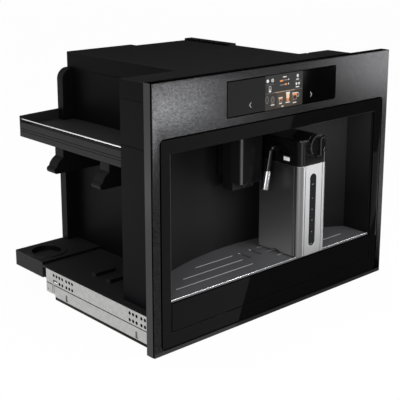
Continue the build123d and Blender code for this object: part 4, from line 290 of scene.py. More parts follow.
# A clear mirror, so it takes its look from the room.
chrome = finish("chrome plate, polished", "#dcdcdd", 0.1, Metallic=1.0)
# A laser leaves the slots' walls bare and frosted, which glints as a fine pale line.
bare_cut = finish("cut edge, bare steel", "#b4b4b3", 0.8, Metallic=1.0)
# The carafe's front: a broad soft glow with fine upright lines in it.
carafe_steel = finish("stainless steel, brushed upright", "#aaaaab", 0.4, Metallic=1.0)
grain(carafe_steel, BRUSH_LINES, 0.00001, UPRIGHT)
# Large plain flakes of zinc, a centimetre wide, on the chassis.
galvanised = finish("steel, galvanised", "#b4b5b6", 0.4, Metallic=1.0)
mottle(galvanised, 90.0, "#a9abad", "#bfc0c1", detail=0.0)
# The boiler keeps the pebbled skin of its mould, 2 mm from pebble to pebble.
cast_boiler = finish("aluminium, die cast", "#c6c6c8", 0.42, Metallic=1.0)
grain(cast_boiler, 500.0, 0.00006)
# A burr is ground and bright, with traces of the wheel under a millimetre wide.
burr_metal = finish("tool steel, ground", "#c2c2c4", 0.3, Metallic=1.0)
grain(burr_metal, 1200.0, 0.00001)
print(zinc_plate.name, "/", carafe_steel.name, "/", galvanised.name)

# %% [markdown]
# Then the small parts, and what shows when a lid is open. Milky plastics are clouded in tone,
# smoked ones are smooth, and only the tank lets light through, with the IOR of its plastic.

# %% Small parts and what lies inside
# Waxy and grey, with weak clouds from the flow of the moulding, 17 mm wide.
liner_plastic = finish("polypropylene liner, dark", "#2a2a2c", 0.25)
mottle(liner_plastic, 60.0, "#272729", "#2d2d2f")
# Almost black with a sharp mirror image: the level behind it barely shows.
window_plastic = finish("smoked window, polycarbonate", "#050506", 0.06, Specular_IOR_Level=0.12)
# Silicone scatters light inside, which reads as a milky white with clouds of 11 mm.
tube_rubber = finish("silicone tube, milky", "#d8d8d4", 0.4)
mottle(tube_rubber, 90.0, "#d3d3cf", "#dbdbd8")
# The one white mark on the black lid.
button_plastic = finish("ABS, white, semi gloss", "#f0f0ee", 0.25)
# Smoke-grey and see-through, with sharp highlights on its edges.
tank_plastic = finish("tank, smoked SAN", "#2c3033", 0.06, Transmission_Weight=0.85, IOR=1.57)
# Undyed nylon is ivory; the rest of the works is black. All are lightly textured.
pump_plastic = finish("nylon, natural", "#9c9887", 0.5)
grinder_plastic = finish("PBT, moulded black", "#2a2a2b", 0.5)
switch_plastic = finish("rocker, nylon black", "#141414", 0.3)
for moulding in (pump_plastic, grinder_plastic, switch_plastic):
    grain(moulding, SPARK, 0.00002)
# The mask is darker over the bare board than over copper: its green changes every 5 mm or so.
board_mask = finish("circuit board, green mask", "#1d4a30", 0.45)
mottle(board_mask, 220.0, "#1a452c", "#205036")
print(window_plastic.name, "/", tank_plastic.name, "/", board_mask.name)

# %% [markdown]
# Each solid names a slot in the record, and each slot has a finish. A few solids share a slot but
# came off another line at the maker's, so they are listed by name with a finish of their own.

# %% A finish for every solid
finish_of = {
    "panel_steel": dark_steel, "black_glass": printed_glass, "screen": screen_glass,
    "moulded_black": black_mould, "cover_sheet": cover_paint, "alcove_lacquer": alcove_painted_shade_and_light,
    "gloss_black": gloss_mould, "zinc_steel": zinc_plate, "screw_steel": screw_plate,
    "bright_chrome": chrome, "grille_coating": grille_coat, "carafe_steel": carafe_steel,
    "milk_liner": liner_plastic, "sight_window": window_plastic, "food_tube": tube_rubber,
    "white_button": button_plastic, "smoke_tank": tank_plastic, "chassis_steel": galvanised,
    "boiler_metal": cast_boiler, "pump_body": pump_plastic, "grinder_black": grinder_plastic,
    "burr_steel": burr_metal, "circuit_board": board_mask, "switch_black": switch_plastic,
}
finish_of_node = {
    "spout_cover": half_gloss, "display_glass": cover_glass, "top_cover": housing_paint,
    "bean_lid": housing_paint, "milk_pipe": pipe_mould, "left_side_panel": primer_and_painted_shade,
    "right_side_panel": primer_and_painted_shade, "rear_cover": primer_and_painted_shade,
    "base_tray": tray_mould, "accessory_shelf": tray_mould, "front_hook": dull_black_and_painted_shade,
    "rear_hook": dull_black_and_painted_shade, "rear_upright": dull_black_and_painted_shade,
    "left_rail_inner": inner_rail_painted_shade, "right_rail_inner": inner_rail_painted_shade,
}
slot_of = {part["node"]: part["material_slot"] for part in frame["record"]["subparts"]}
for name, node in frame["nodes"].items():
    node.data.materials.clear()
    node.data.materials.append(finish_of_node.get(name, finish_of[slot_of[name]]))
print("slots:", len(finish_of), "solids with their own:", len(finish_of_node))

# %% [markdown]
# Edges. A real moulding or a folded sheet never ends in a knife edge: the tool leaves a radius of
# half a millimetre or more, and that radius is what draws a thin bright line along every corner.
# Each such solid is copied, its loose triangles are merged and its flat faces dissolved, and the
# sharp edges are bevelled. The large faces then keep their flat shading, and only the small ones
# at the edge turn it.

# %% Cleaning, rounding and shading a copy
WELD = 0.00001                # points closer than this are one
LEVEL = math.radians(1.0)     # faces that meet flatter than this are one
SHARP = math.radians(50)      # edges sharper than this are rounded
SMOOTH = math.radians(35)     # edges flatter than this are shaded smooth


def alone(piece):
    """Only this piece is selected, and it is the active one."""
    bpy.ops.object.select_all(action="DESELECT")
    piece.select_set(True)
    bpy.context.view_layer.objects.active = piece


def cleaned(piece):
    """Loose triangles merged to one shell, and each flat face made whole."""
    alone(piece)
    bpy.ops.mesh.customdata_custom_splitnormals_clear()
    bpy.ops.object.mode_set(mode="EDIT")
    bpy.ops.mesh.select_all(action="SELECT")
    bpy.ops.mesh.remove_doubles(threshold=WELD)
    bpy.ops.mesh.dissolve_limited(angle_limit=LEVEL)
    bpy.ops.object.mode_set(mode="OBJECT")


def rounded(piece, radius):
    """Every sharp edge of a piece rounded."""
    alone(piece)
    bpy.ops.object.mode_set(mode="EDIT")
    bpy.ops.mesh.select_all(action="DESELECT")
    bpy.ops.mesh.select_mode(type="EDGE")
    bpy.ops.mesh.edges_select_sharp(sharpness=SHARP)
    bpy.ops.mesh.bevel(offset=radius, segments=2, affect="EDGES", clamp_overlap=False)
    bpy.ops.object.mode_set(mode="OBJECT")


def keep_flat(piece):
    """Smooth shading in which a large face stays flat."""
    alone(piece)
    bpy.ops.object.shade_smooth_by_angle(angle=SMOOTH)
    flat = piece.modifiers.new("flat faces", "WEIGHTED_NORMAL")
    flat.weight, flat.keep_sharp = 100, True
    bpy.ops.object.modifier_apply(modifier=flat.name)


print("rounded above", round(math.degrees(SHARP)), "degrees")

# %% [markdown]
# The rear ledge of the tray has a round finger pocket, which is an open half ring in the solid. The
# copy gets its floor and wall here: a round block is joined to the ledge, and a smaller one is cut
# from it, nine millimetres deep. Exact booleans leave clean walls on a shell as plain as this.

# %% Finger pocket in the ledge
tray_low, tray_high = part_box("base_tray")
POCKET_AXIS = (tray_low[0] + 0.041, 0.391)
BLOCK_RADIUS, BLOCK_FOOT = 0.0385, 0.0490
POCKET_RADIUS, POCKET_FLOOR = 0.0290, 0.0520


def boolean_round(piece, radius, low, high, operation):
    """An upright round block on the pocket's axis, added to a piece or cut from it."""
    bpy.ops.object.select_all(action="DESELECT")
    bpy.ops.mesh.primitive_cylinder_add(vertices=48, radius=radius, depth=high - low,
                                        location=(*POCKET_AXIS, (low + high) / 2))
    block = bpy.context.active_object
    alone(piece)
    change = piece.modifiers.new("block", "BOOLEAN")
    change.operation, change.object, change.solver = operation, block, "EXACT"
    bpy.ops.object.modifier_apply(modifier=change.name)
    bpy.data.objects.remove(block)


def grip_pocket(piece):
    """The block, its top a hair under the ledge's so that no faces fight, and the pocket in it."""
    boolean_round(piece, BLOCK_RADIUS, BLOCK_FOOT, tray_high[2] - 0.00002, "UNION")
    boolean_round(piece, POCKET_RADIUS, POCKET_FLOOR, tray_high[2] + 0.01, "DIFFERENCE")


print("pocket:", round((tray_high[2] - POCKET_FLOOR) * 1000, 1), "mm deep")

# %% [markdown]
# Each copy rides the body of its solid and stands for it. Where the radius is nothing, the solid
# has its radii already, or its faces are only cleaned for a finish of their own.

# %% Softened copies
body_of = {member: body for body, members in frame["record"]["behaviour"]["bodies"].items()
           for member in members}
radius_of = {
    "top_cover": 0.0006, "left_collar_lower": 0.0005, "left_collar_upper": 0.0005,
    "right_collar_lower": 0.0005, "right_collar_upper": 0.0005, "accessory_shelf": 0.0007,
    "front_hook": 0.001, "rear_hook": 0.001, "rear_upright": 0.001, "base_tray": 0.0006,
    "spout_cover": 0.0009, "spout_carriage": 0.0006, "drip_grille": 0.0,
    "carafe_lid": 0.0006, "froth_knob": 0.0007, "carafe_casing": 0.0005,
    "left_side_panel": 0.0005, "right_side_panel": 0.0005, "rear_cover": 0.0005,
    "glass_frame": 0.0009, "display_glass": 0.001, "tray_front_glass": 0.0006,
    "water_tank": 0.0006, "tank_lid": 0.0006, "bean_lid": 0.0006, "front_panel": 0.0,
    "left_rail_fixed": 0.0, "right_rail_fixed": 0.0,
}


def softened(solid, radius):
    """A copy of a solid with its sharp edges rounded, which stands for it."""
    piece = bpy.data.objects.new(solid + "_soft", frame["nodes"][solid].data.copy())
    bpy.context.collection.objects.link(piece)
    cleaned(piece)
    if solid == "base_tray":
        grip_pocket(piece)
    if radius:
        rounded(piece, radius)
    keep_flat(piece)
    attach(piece, body_of[solid])
    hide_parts(solid)
    print(solid, len(piece.data.polygons), "faces")
    return piece


soft = {solid: softened(solid, radius) for solid, radius in radius_of.items()}

# %% [markdown]
# Some faces of a solid have a finish of their own. Each time they are picked out in edit mode, by
# where they lie and which way they look, and given one more material. Where the border of a finish
# crosses a face, a plane first divides the piece there.

# %% Picking out, painting and dividing faces
def pick_faces(piece, chosen):
    """In edit mode, only the faces that a test of centre and direction picks out are selected."""
    alone(piece)
    bpy.ops.object.mode_set(mode="EDIT")
    bpy.ops.mesh.select_mode(type="FACE")
    bpy.ops.mesh.select_all(action="DESELECT")
    shape = bmesh.from_edit_mesh(piece.data)
    picked = [face for face in shape.faces if chosen(face.calc_center_median(), face.normal)]
    for face in picked:
        face.select_set(True)
    return len(picked)


def paint(piece, coat, chosen):
    """The faces that a test picks out, in another finish."""
    piece.data.materials.append(coat)
    count = pick_faces(piece, chosen)
    piece.active_material_index = len(piece.data.materials) - 1
    bpy.ops.object.material_slot_assign()
    bpy.ops.object.mode_set(mode="OBJECT")
    print(piece.name, coat.name, count, "faces")


def divide(piece, place, direction):
    """New edges through a whole piece, where a plane crosses it."""
    alone(piece)
    bpy.ops.object.mode_set(mode="EDIT")
    bpy.ops.mesh.select_all(action="SELECT")
    bpy.ops.mesh.bisect(plane_co=place, plane_no=direction)
    bpy.ops.object.mode_set(mode="OBJECT")


def outer_rim(at, half_width, low, high, width=0.0012):
    """Whether a point lies on the rim of an upright plate."""
    return abs(at.x) > half_width - width or at.z < low + width or at.z > high - width


# %% [markdown]
# The carafe is brushed upright. Its left side and the round between the sides carry painted
# reflection: the side is graded with height, light at the foot, where it would mirror the floor,
# and dark at the top, where it would mirror the dark machine, and the round is painted a plain grey
# darker than both. The round of the lid above it is dull, all but the strip that catches the lamp.

# %% Side and corner of the carafe, with painted reflection
def front_left_round(at, face):
    """Whether a face belongs to the upright round between the front and the left side."""
    return face.x < -0.12 and face.y < -0.12 and abs(face.z) < 0.2


SIDE_FOOT, SIDE_HEAD = 0.09, 0.25    # heights between which the side darkens

# Painted reflection: light at the foot, dark at the head, with fine upright lines over both.
side_steel_painted_reflection = finish("stainless steel, brushed upright, side, painted reflection", "#aaaaab", 0.4, Metallic=1.0)
grain(side_steel_painted_reflection, BRUSH_LINES, 0.00001, UPRIGHT)
tree = side_steel_painted_reflection.node_tree
coloured(tree, two_tone(tree, along(tree, "Z", SIDE_FOOT, SIDE_HEAD), "#f0f0f0", "#6c6c6d"))
# Painted reflection: a plain darker grey, so that the round reads as an upright band.
corner_steel_painted_reflection = finish("stainless steel, brushed upright, corner", "#727273", 0.34, Metallic=1.0)
paint(soft["carafe_casing"], side_steel_painted_reflection, lambda at, face: face.x < -0.97)
paint(soft["carafe_casing"], corner_steel_painted_reflection, front_left_round)
paint(soft["carafe_lid"], dull_black_and_painted_shade, lambda at, face: front_left_round(at, face)
      and not -0.6 < face.x < -0.42)

# %% [markdown]
# The spout's cover is half glossy in front and satin on its left side, which is painted lighter
# than the front as painted light. Its rounded corner is polished, which shows as a bright upright
# line, and is painted a lighter grey as a painted highlight; its slanting underside is polished
# too.
# The skirt of the top cover is painted in the darker paint of the sides as painted shade, and the
# fronts of the tray's ledge and ridges, and the wall of the pocket, are painted dull black as
# painted shade.

# %% Spout, top cover and tray, with painted light and shade
# Satin and painted light: a little lighter than the face, as a lit side is.
spout_side_painted_light = finish("ABS, moulded, half gloss, side, painted light", "#1b1b1c", 0.3, Specular_IOR_Level=0.1)
# The corner mirrors the key lamp along its whole height, and its lighter grey is a painted
# highlight.
spout_edge_painted_highlight = finish("ABS, moulded, polished edge, painted highlight", "#303031", 0.16, Specular_IOR_Level=0.6)
paint(soft["spout_cover"], spout_side_painted_light, lambda at, face: face.x < -0.97)
paint(soft["spout_cover"], spout_edge_painted_highlight, lambda at, face: face.x < -0.3 and face.y < -0.3)
paint(soft["spout_cover"], gloss_mould, lambda at, face: face.y < -0.3 and face.z < -0.3)
# Painted shade: the top cover's left face takes the darker paint of the sides.
paint(soft["top_cover"], primer_and_painted_shade, lambda at, face: face.x < -0.9)

DECK = 0.0561            # the tray's deck, which the ledge and the ridges stand on
POCKET_REACH = 0.0300    # just outside the pocket's wall
# Painted shade: the fronts of the ledge and ridges, and the pocket's wall, in dull black.
paint(soft["base_tray"], dull_black_and_painted_shade, lambda at, face: face.y < -0.7 and at.z > DECK)
paint(soft["base_tray"], dull_black_and_painted_shade, lambda at, face: abs(face.z) < 0.3
      and POCKET_FLOOR < at.z < 0.0612
      and math.hypot(at.x - POCKET_AXIS[0], at.y - POCKET_AXIS[1]) < POCKET_REACH)

# %% [markdown]
# The steel front is folded back at its edges. A black shadow line runs round it behind the face, a
# centimetre wide along the top, and the strip under the glass is brushed along its length, which
# looks darker than the sanding. The returns are painted lighter than the face, as painted light.
# The panel is divided where these end, and then painted.

# %% Steel front: foot strip, painted light on the returns, and shadow line
EDGE = 0.001                               # the rim that counts as the panel's edge
SHADOW_FRONT, SHADOW_BACK = -0.0189, -0.0159
TOP_LINE = -0.010                          # how far back the line on the upper edge reaches

# Dark and almost matt, with the least gleam of metal.
foot_steel = finish("stainless steel, dark, brushed, foot strip", "#161617", 0.5,
                    Specular_IOR_Level=0.25)
panel = soft["front_panel"]
panel_low, panel_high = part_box("front_panel")
glass_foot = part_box("glass_frame")[0][2] - 0.0021
divide(panel, (0, TOP_LINE, 0), (0, 1, 0))
divide(panel, (0, 0, glass_foot), (0, 0, 1))
paint(panel, foot_steel, lambda at, face: face.y < -0.9 and at.z < glass_foot)
# Painted light: the returns in the lighter copy of the steel.
paint(panel, return_steel_painted_light, lambda at, face: abs(face.x) > 0.9 and at.y > -0.016
      and abs(at.x) > panel_high[0] - EDGE / 2)
paint(panel, glass_seam, lambda at, face: SHADOW_FRONT < at.y < SHADOW_BACK
      and outer_rim(at, panel_high[0], panel_low[2], panel_high[2], EDGE))
paint(panel, glass_seam, lambda at, face: face.z > 0.9 and at.y < TOP_LINE - 0.0005
      and at.z > panel_high[2] - EDGE)

# %% [markdown]
# The fixed member of a rail is a folded profile: a groove runs along it between two flanges, and
# two rows of bolt holes pierce its bracket. The groove is divided off, and it and the walls of the
# holes are painted dull black as painted shade, the shade that deep narrow places in bright steel
# hold.

# %% Groove and bolt holes of the rails, in painted shade
GROOVE_FOOT, GROOVE_HEAD = 0.0280, 0.0298
HOLE_ROWS, HOLE_REACH = (0.0483, 0.0361), 0.0036    # heights of the rows, and half a hole


def painted_shade_in_groove_or_hole(at, face):
    """Whether a face lies in the groove of a rail or lines one of its bolt holes, where shade is
    painted.
    """
    in_groove = GROOVE_FOOT < at.z < GROOVE_HEAD and abs(face.y) < 0.5
    in_hole = abs(face.x) < 0.3 and 0.004 < at.y < 0.318 and any(
        abs(at.z - row) < HOLE_REACH for row in HOLE_ROWS)
    return in_groove or in_hole


for rail in ("left_rail_fixed", "right_rail_fixed"):
    for border in (GROOVE_FOOT, GROOVE_HEAD):
        divide(soft[rail], (0, 0, border), (0, 0, 1))
    # Painted shade in the groove and the walls of the holes.
    paint(soft[rail], dull_black_and_painted_shade, painted_shade_in_groove_or_hole)

# %% [markdown]
# Both glasses end in a dark seam against the steel. The display's is wide enough to need a ring of
# faces, so its front face is inset first. The glass round the alcove shows its ground edge on the
# left only, in a pale grey that is partly a painted highlight, and the slots of the grille were cut
# after coating, so the walls that face the front are bare.

# %% Edges of the glasses and the grille
RING = 0.0009            # width of the display's seam
GLASS_SILL = 0.0915      # the lower edge of the alcove's opening

pick_faces(soft["display_glass"], lambda at, face: face.y < -0.99)
bpy.ops.mesh.inset(thickness=RING)
bpy.ops.object.mode_set(mode="OBJECT")
display_low, display_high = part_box("display_glass")
paint(soft["display_glass"], glass_seam, lambda at, face: face.y < 0.5
      and outer_rim(at, display_high[0], display_low[2], display_high[2]))
# The walls of the opening in the steel round the display.
paint(panel, glass_seam, lambda at, face: abs(face.y) < 0.9
      and abs(at.x) < display_high[0] + 0.002
      and display_low[2] - 0.002 < at.z < display_high[2] + 0.002)
divide(soft["glass_frame"], (0, 0, GLASS_SILL), (0, 0, 1))
for glass in ("glass_frame", "tray_front_glass"):
    low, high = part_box(glass)
    paint(soft[glass], glass_seam, lambda at, face: abs(face.y) < 0.99
          and outer_rim(at, high[0], low[2], high[2]))
# Painted highlight, with the ground edge: pale grey on the mouth's left edge only.
paint(soft["glass_frame"], ground_edge_and_painted_highlight, lambda at, face: abs(face.y) < 0.99
      and at.x < -0.2 and at.z > GLASS_SILL + 0.0005 and not outer_rim(at, 0.281, 0.0, 0.345))
paint(soft["drip_grille"], bare_cut, lambda at, face: face.y < -0.5 and abs(face.z) < 0.3
      and at.y > -0.01)

# %% [markdown]
# The display is a colour screen behind the black glass. Seen from a step away it is a dark page
# with small icons above and a row of drinks below. The inks glow at the strength at which a colour
# shows as written, and keep the gloss of the glass before them.

# %% Lit inks of the screen
def lit_ink(name, colour):
    """A colour of the screen: it glows, and the glass before it still shines."""
    ink = finish(name, "#000000", 0.04, Specular_IOR_Level=0.08, Emission_Strength=1.0)
    shader = ink.node_tree.nodes["Principled BSDF"]
    shader.inputs["Emission Color"].default_value = linear(colour)
    return ink


page_ink = lit_ink("screen page, dark", "#3a3a3b")
band_ink = lit_ink("screen band, brown", "#3f3a36")
glow_ink = lit_ink("screen band, lit brown", "#524940")
white_ink = lit_ink("screen white", "#e8e6e2")
grey_ink = lit_ink("screen grey", "#8b8a87")
sign_ink = lit_ink("touch sign, white print", "#ffffff")
orange_ink = lit_ink("screen orange", "#e8935a")
cream_ink = lit_ink("screen cream", "#f6d3b0")
coffee_ink = lit_ink("screen coffee", "#4a2a1e")
print("inks from", page_ink.name, "to", coffee_ink.name)

# %% [markdown]
# Every mark is a flat tile: a plane or a disc at its place, narrowed at the foot for a glass,
# leaned for a stroke, or inset to a ring for an outline. Tiles that lie on others stand 0.03 mm
# before them, as layers of print do, and all tiles of one picture are joined to one piece.

# %% Tiles
LAYER = 0.00003          # between one ink and the next
FACE_Y = -0.02 - LAYER   # the face of the display's glass


def tile(name, ink, x, z, width, height, layer=3, round_=False, ring=0.0, foot=1.0, lean=0.0):
    """One flat mark on the display, centred at x, z in millimetres; foot narrows its lower edge,
    lean moves its upper edge sideways and ring leaves only a rim of that width."""
    place = (x / 1000, FACE_Y - layer * LAYER, z / 1000)
    bpy.ops.object.select_all(action="DESELECT")
    if round_:
        bpy.ops.mesh.primitive_circle_add(vertices=20, radius=0.5, fill_type="NGON",
                                          location=place, rotation=(math.pi / 2, 0, 0))
    else:
        bpy.ops.mesh.primitive_plane_add(size=1, location=place, rotation=(math.pi / 2, 0, 0))
    mark = bpy.context.active_object
    mark.name = name
    mark.scale = (width / 1000, height / 1000, 1)
    bpy.ops.object.transform_apply(location=True, rotation=True, scale=True)
    bpy.ops.object.mode_set(mode="EDIT")
    bpy.ops.mesh.select_mode(type="VERT")
    if ring:
        bpy.ops.mesh.select_all(action="SELECT")
        bpy.ops.mesh.inset(thickness=ring / 1000)
        bpy.ops.mesh.delete(type="FACE")
    outline = bmesh.from_edit_mesh(mark.data)
    if foot != 1.0:
        for point in outline.verts:
            point.select_set(point.co.z < z / 1000)
        bpy.ops.transform.resize(value=(foot, 1, 1))
    if lean:
        for point in outline.verts:
            point.select_set(point.co.z > z / 1000)
        bpy.ops.transform.translate(value=(lean / 1000, 0, 0))
    bpy.ops.object.mode_set(mode="OBJECT")
    mark.data.materials.append(ink)
    return mark


def disc(*place, **shape):
    """A flat mark that is round."""
    return tile(*place, round_=True, **shape)


def one_piece(name, marks, body):
    """Several tiles joined to one named piece that rides a body."""
    bpy.ops.object.select_all(action="DESELECT")
    for mark in marks:
        mark.select_set(True)
    bpy.context.view_layer.objects.active = marks[0]
    bpy.ops.object.join()
    marks[0].name = name
    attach(marks[0], body)
    print(name, len(marks), "tiles")


# %% [markdown]
# The page is a dark ground with a brown band at its foot, lit in the middle, and a line above the
# band. The icons are plain shapes that say nothing: a disc and a ring, a jug, two sliders, a bean,
# two small cups, and bars where words would be.

# %% The page and its icons
page = [
    tile("page", page_ink, 0.0, 409.75, 95.0, 60.3, 0),
    tile("band", band_ink, 0.0, 394.0, 92.0, 28.6, 1),
    tile("band_lit", glow_ink, 4.0, 395.0, 44.0, 26.0, 2),
    tile("divider", grey_ink, 0.0, 408.7, 91.0, 0.5),
    tile("divider_lit", cream_ink, 2.0, 408.7, 52.0, 0.6, 4),
]
one_piece("screen_page", page, "machine")
icons = [
    disc("icon", white_ink, -42.0, 430.8, 6.2, 6.0),
    disc("icon", white_ink, -30.0, 430.8, 6.2, 6.2, ring=1.3),
    disc("icon", white_ink, -30.0, 430.8, 1.6, 1.6),
    tile("icon_line", grey_ink, -36.0, 424.0, 19.0, 0.4),
    tile("jug", white_ink, -36.0, 418.4, 4.4, 6.0, ring=0.6, foot=1.5),
    disc("jug_foot", white_ink, -36.0, 412.6, 6.4, 3.6),
    tile("caption", white_ink, 0.5, 434.0, 9.0, 1.8),
    tile("slider", grey_ink, 4.5, 428.2, 14.0, 1.4),
    disc("slider_end", white_ink, 10.5, 428.6, 2.6, 2.8),
    tile("slider_knob", orange_ink, -7.6, 427.6, 8.0, 3.0, 4),
    tile("slider_low", grey_ink, -3.0, 420.4, 16.0, 1.4),
    disc("slider_low_end", white_ink, 10.3, 421.0, 2.4, 3.2),
    tile("slider_low_knob", orange_ink, 3.6, 420.8, 5.4, 3.0, 4),
    disc("bean", white_ink, 34.0, 432.6, 5.6, 6.4),
    tile("bean_seam", page_ink, 34.0, 432.6, 0.8, 5.4, 4, lean=1.2),
    tile("bean_caption", white_ink, 33.8, 426.2, 7.6, 1.6),
    tile("bean_line", grey_ink, 34.0, 423.3, 17.0, 0.4),
    tile("cup_small", white_ink, 31.0, 418.2, 4.6, 4.4, foot=0.6),
    tile("cup_small", white_ink, 37.6, 418.4, 4.6, 4.0, foot=0.6),
    tile("cup_caption", white_ink, 33.8, 412.6, 9.0, 1.8),
]
one_piece("screen_icons", icons, "machine")

# %% [markdown]
# The drinks stand in a row on the band: a cup and a glass in outline, then an espresso, a tall
# glass with milk and foam, and a mug with its handle. Each is a stack of tiles, from the vessel to
# what is in it, with a bar for a caption underneath.

# %% The row of drinks
drinks = [
    disc("outline_cup", grey_ink, -43.0, 398.0, 7.0, 13.0, ring=0.8),
    disc("water_glass", grey_ink, -29.0, 396.4, 8.6, 12.6, ring=0.8),
    disc("water_glass_mark", grey_ink, -29.0, 396.4, 4.4, 9.0, 4, ring=0.6),
    tile("espresso", grey_ink, -9.0, 394.6, 10.4, 8.8, foot=0.7),
    tile("espresso_rim", white_ink, -9.0, 398.2, 10.4, 1.6, 4),
    tile("espresso_crema", orange_ink, -9.0, 396.0, 7.6, 2.6, 4),
    tile("espresso_coffee", coffee_ink, -8.6, 393.2, 5.6, 3.4, 4, foot=0.8),
    tile("latte", orange_ink, 9.4, 396.6, 8.4, 12.0, foot=0.7),
    tile("latte_milk", cream_ink, 9.4, 399.4, 8.2, 8.0, 4, foot=0.9),
    tile("latte_foam", white_ink, 9.4, 404.4, 9.6, 3.6, 4),
    tile("latte_foot", grey_ink, 9.4, 389.9, 6.6, 1.0, 4),
    tile("mug", grey_ink, 27.4, 396.6, 13.0, 12.4, foot=0.7),
    tile("mug_rim", white_ink, 27.4, 402.6, 13.4, 1.4, 4),
    tile("mug_crema", orange_ink, 27.4, 400.0, 11.0, 3.4, 4),
    tile("mug_coffee", coffee_ink, 27.4, 394.8, 8.4, 6.6, 4, foot=0.8),
    disc("mug_handle", white_ink, 35.4, 398.6, 6.0, 8.0, ring=0.7),
]
drinks += [tile("drink_caption", white_ink, x, z, width, 1.7)
           for x, z, width in ((-29.0, 387.9, 9.0), (-9.0, 388.0, 7.0), (9.4, 387.9, 11.0),
                               (27.4, 385.4, 9.0), (-4.0, 382.6, 5.0))]
one_piece("screen_drinks", drinks, "machine")

# %% [markdown]
# Two touch signs are printed on the glass beside the screen. Each is a chevron of two strokes that
# lean against each other: a narrow tile with its upper edge moved sideways, and its mirror below.

# %% Chevrons beside the screen
THICK, RISE = 0.9, 4.4       # a stroke's width, and its height and lean
UPPER, LOWER = 396.9, 392.5  # the middles of the two strokes

for side, x, turn in (("left", -85.5, 1), ("right", 73.0, -1)):
    strokes = [
        tile("stroke", sign_ink, x, UPPER, THICK, RISE, 1, lean=turn * RISE),
        tile("stroke", sign_ink, x + turn * RISE, LOWER, THICK, RISE, 1, lean=-turn * RISE),
    ]
    one_piece("chevron_" + side, strokes, "machine")

# %% [markdown]
# The milk carafe's window carries a scale without figures: fine strokes for the cups, and longer
# ones at the fullest and the lowest level. They are tiles too, made at the display's face and then
# moved back to the window's.

# %% Scale of the carafe's window
WINDOW_X, WINDOW_FACE = 81.2, -0.0214
levels = ((225.3, 5.0), (198.4, 3.0), (176.8, 3.0), (156.0, 3.0), (132.9, 3.0), (109.5, 4.0))

# A matt grey print, just lighter than the smoked window.
scale_print = finish("scale print, grey", "#77787a", 0.4)
for number, (height, width) in enumerate(levels):
    stroke = tile("stroke", scale_print, WINDOW_X, height, width, 0.8, 1)
    alone(stroke)
    bpy.ops.object.mode_set(mode="EDIT")
    bpy.ops.mesh.select_all(action="SELECT")
    bpy.ops.transform.translate(value=(0, WINDOW_FACE - FACE_Y, 0))
    bpy.ops.object.mode_set(mode="OBJECT")
    one_piece(f"window_stroke_{number}", [stroke], "carafe")

# %% [markdown]
# The milk pipe ends in a steel sleeve. It is a drawn tube pushed over the plastic pipe: a cylinder
# along the pipe's lower run, whose lower end is inset and pushed inwards for the bore, with both
# rims bevelled.

# %% Steel sleeve on the milk pipe
BEND, TIP = Vector((0.031, 0.038, 0.292)), Vector((0.015, 0.038, 0.215))
SLEEVE_LENGTH, SLEEVE_RADIUS = 0.0352, 0.0072
SLEEVE_WALL, BORE_DEPTH = 0.0022, 0.012

# Drawn tube is smoother than sheet and takes its grey from the dark niche.
bright_tube = finish("stainless steel tube, drawn", "#8e8e90", 0.24, Metallic=1.0)
drop = (TIP - BEND).normalized()
bpy.ops.object.select_all(action="DESELECT")
bpy.ops.mesh.primitive_cylinder_add(vertices=32, radius=SLEEVE_RADIUS, depth=SLEEVE_LENGTH,
                                    location=TIP - drop * SLEEVE_LENGTH / 2,
                                    rotation=drop.to_track_quat("-Z", "Y").to_euler())
sleeve = bpy.context.active_object
sleeve.name = "milk_pipe_sleeve"
bpy.ops.object.transform_apply(location=True, rotation=True, scale=True)
pick_faces(sleeve, lambda at, face: face.dot(drop) > 0.9)
bpy.ops.mesh.inset(thickness=SLEEVE_WALL)
bpy.ops.transform.translate(value=tuple(-drop * BORE_DEPTH))
bpy.ops.object.mode_set(mode="OBJECT")
rims = sleeve.modifiers.new("rims", "BEVEL")
rims.width, rims.segments, rims.limit_method = 0.0006, 3, "ANGLE"
bpy.ops.object.modifier_apply(modifier=rims.name)
bpy.ops.object.shade_smooth_by_angle(angle=SMOOTH)
sleeve.data.materials.append(bright_tube)
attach(sleeve, "milk_pipe")
print(sleeve.name, len(sleeve.data.polygons), "faces")

# %% [markdown]
# Two things are bars with rounded edges. The grille's front edge is a bright folded lip that draws
# a white line across the machine, because some part of its round always mirrors the bright room.
# And a black plastic strip is clipped under each fixed rail, so that the machine doesn't mark the
# shelf it is slid over. A cube is scaled to the bar, and a bevel rounds it.

# %% Bright lip of the grille and strips under the rails
def rounded_bar(name, middle, size, radius, steps, coat):
    """A straight bar with all its edges rounded."""
    bpy.ops.object.select_all(action="DESELECT")
    bpy.ops.mesh.primitive_cube_add(size=1, location=middle)
    bar = bpy.context.active_object
    bar.name, bar.scale = name, size
    bpy.ops.object.transform_apply(location=True, rotation=True, scale=True)
    rounding = bar.modifiers.new("rounding", "BEVEL")
    rounding.width, rounding.segments = radius, steps
    bpy.ops.object.modifier_apply(modifier=rounding.name)
    bpy.ops.object.shade_smooth_by_angle(angle=math.radians(60))
    bar.data.materials.append(coat)
    print(name, len(bar.data.polygons), "faces")
    return bar


# Bent from bright strip: a pale mirror with a slight blur.
lip_steel = finish("stainless steel, folded lip", "#cacacc", 0.2, Metallic=1.0)
lip = rounded_bar("grille_lip", (0, -0.0150, 0.0889), (0.5190, 0.0016, 0.0022), 0.0006, 4,
                  lip_steel)
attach(lip, "drip_tray")

# Waxy and dull: a dark line under the rail.
strip_plastic = finish("polyethylene strip, black", "#0a0a0a", 0.5, Specular_IOR_Level=0.1)
for side, sign in (("left", -1), ("right", 1)):
    strip = rounded_bar(f"rail_strip_{side}", (sign * 0.2795, 0.1480, 0.00345),
                        (0.003, 0.2950, 0.0061), 0.0008, 3, strip_plastic)
    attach(strip, body_of[f"{side}_rail_fixed"])

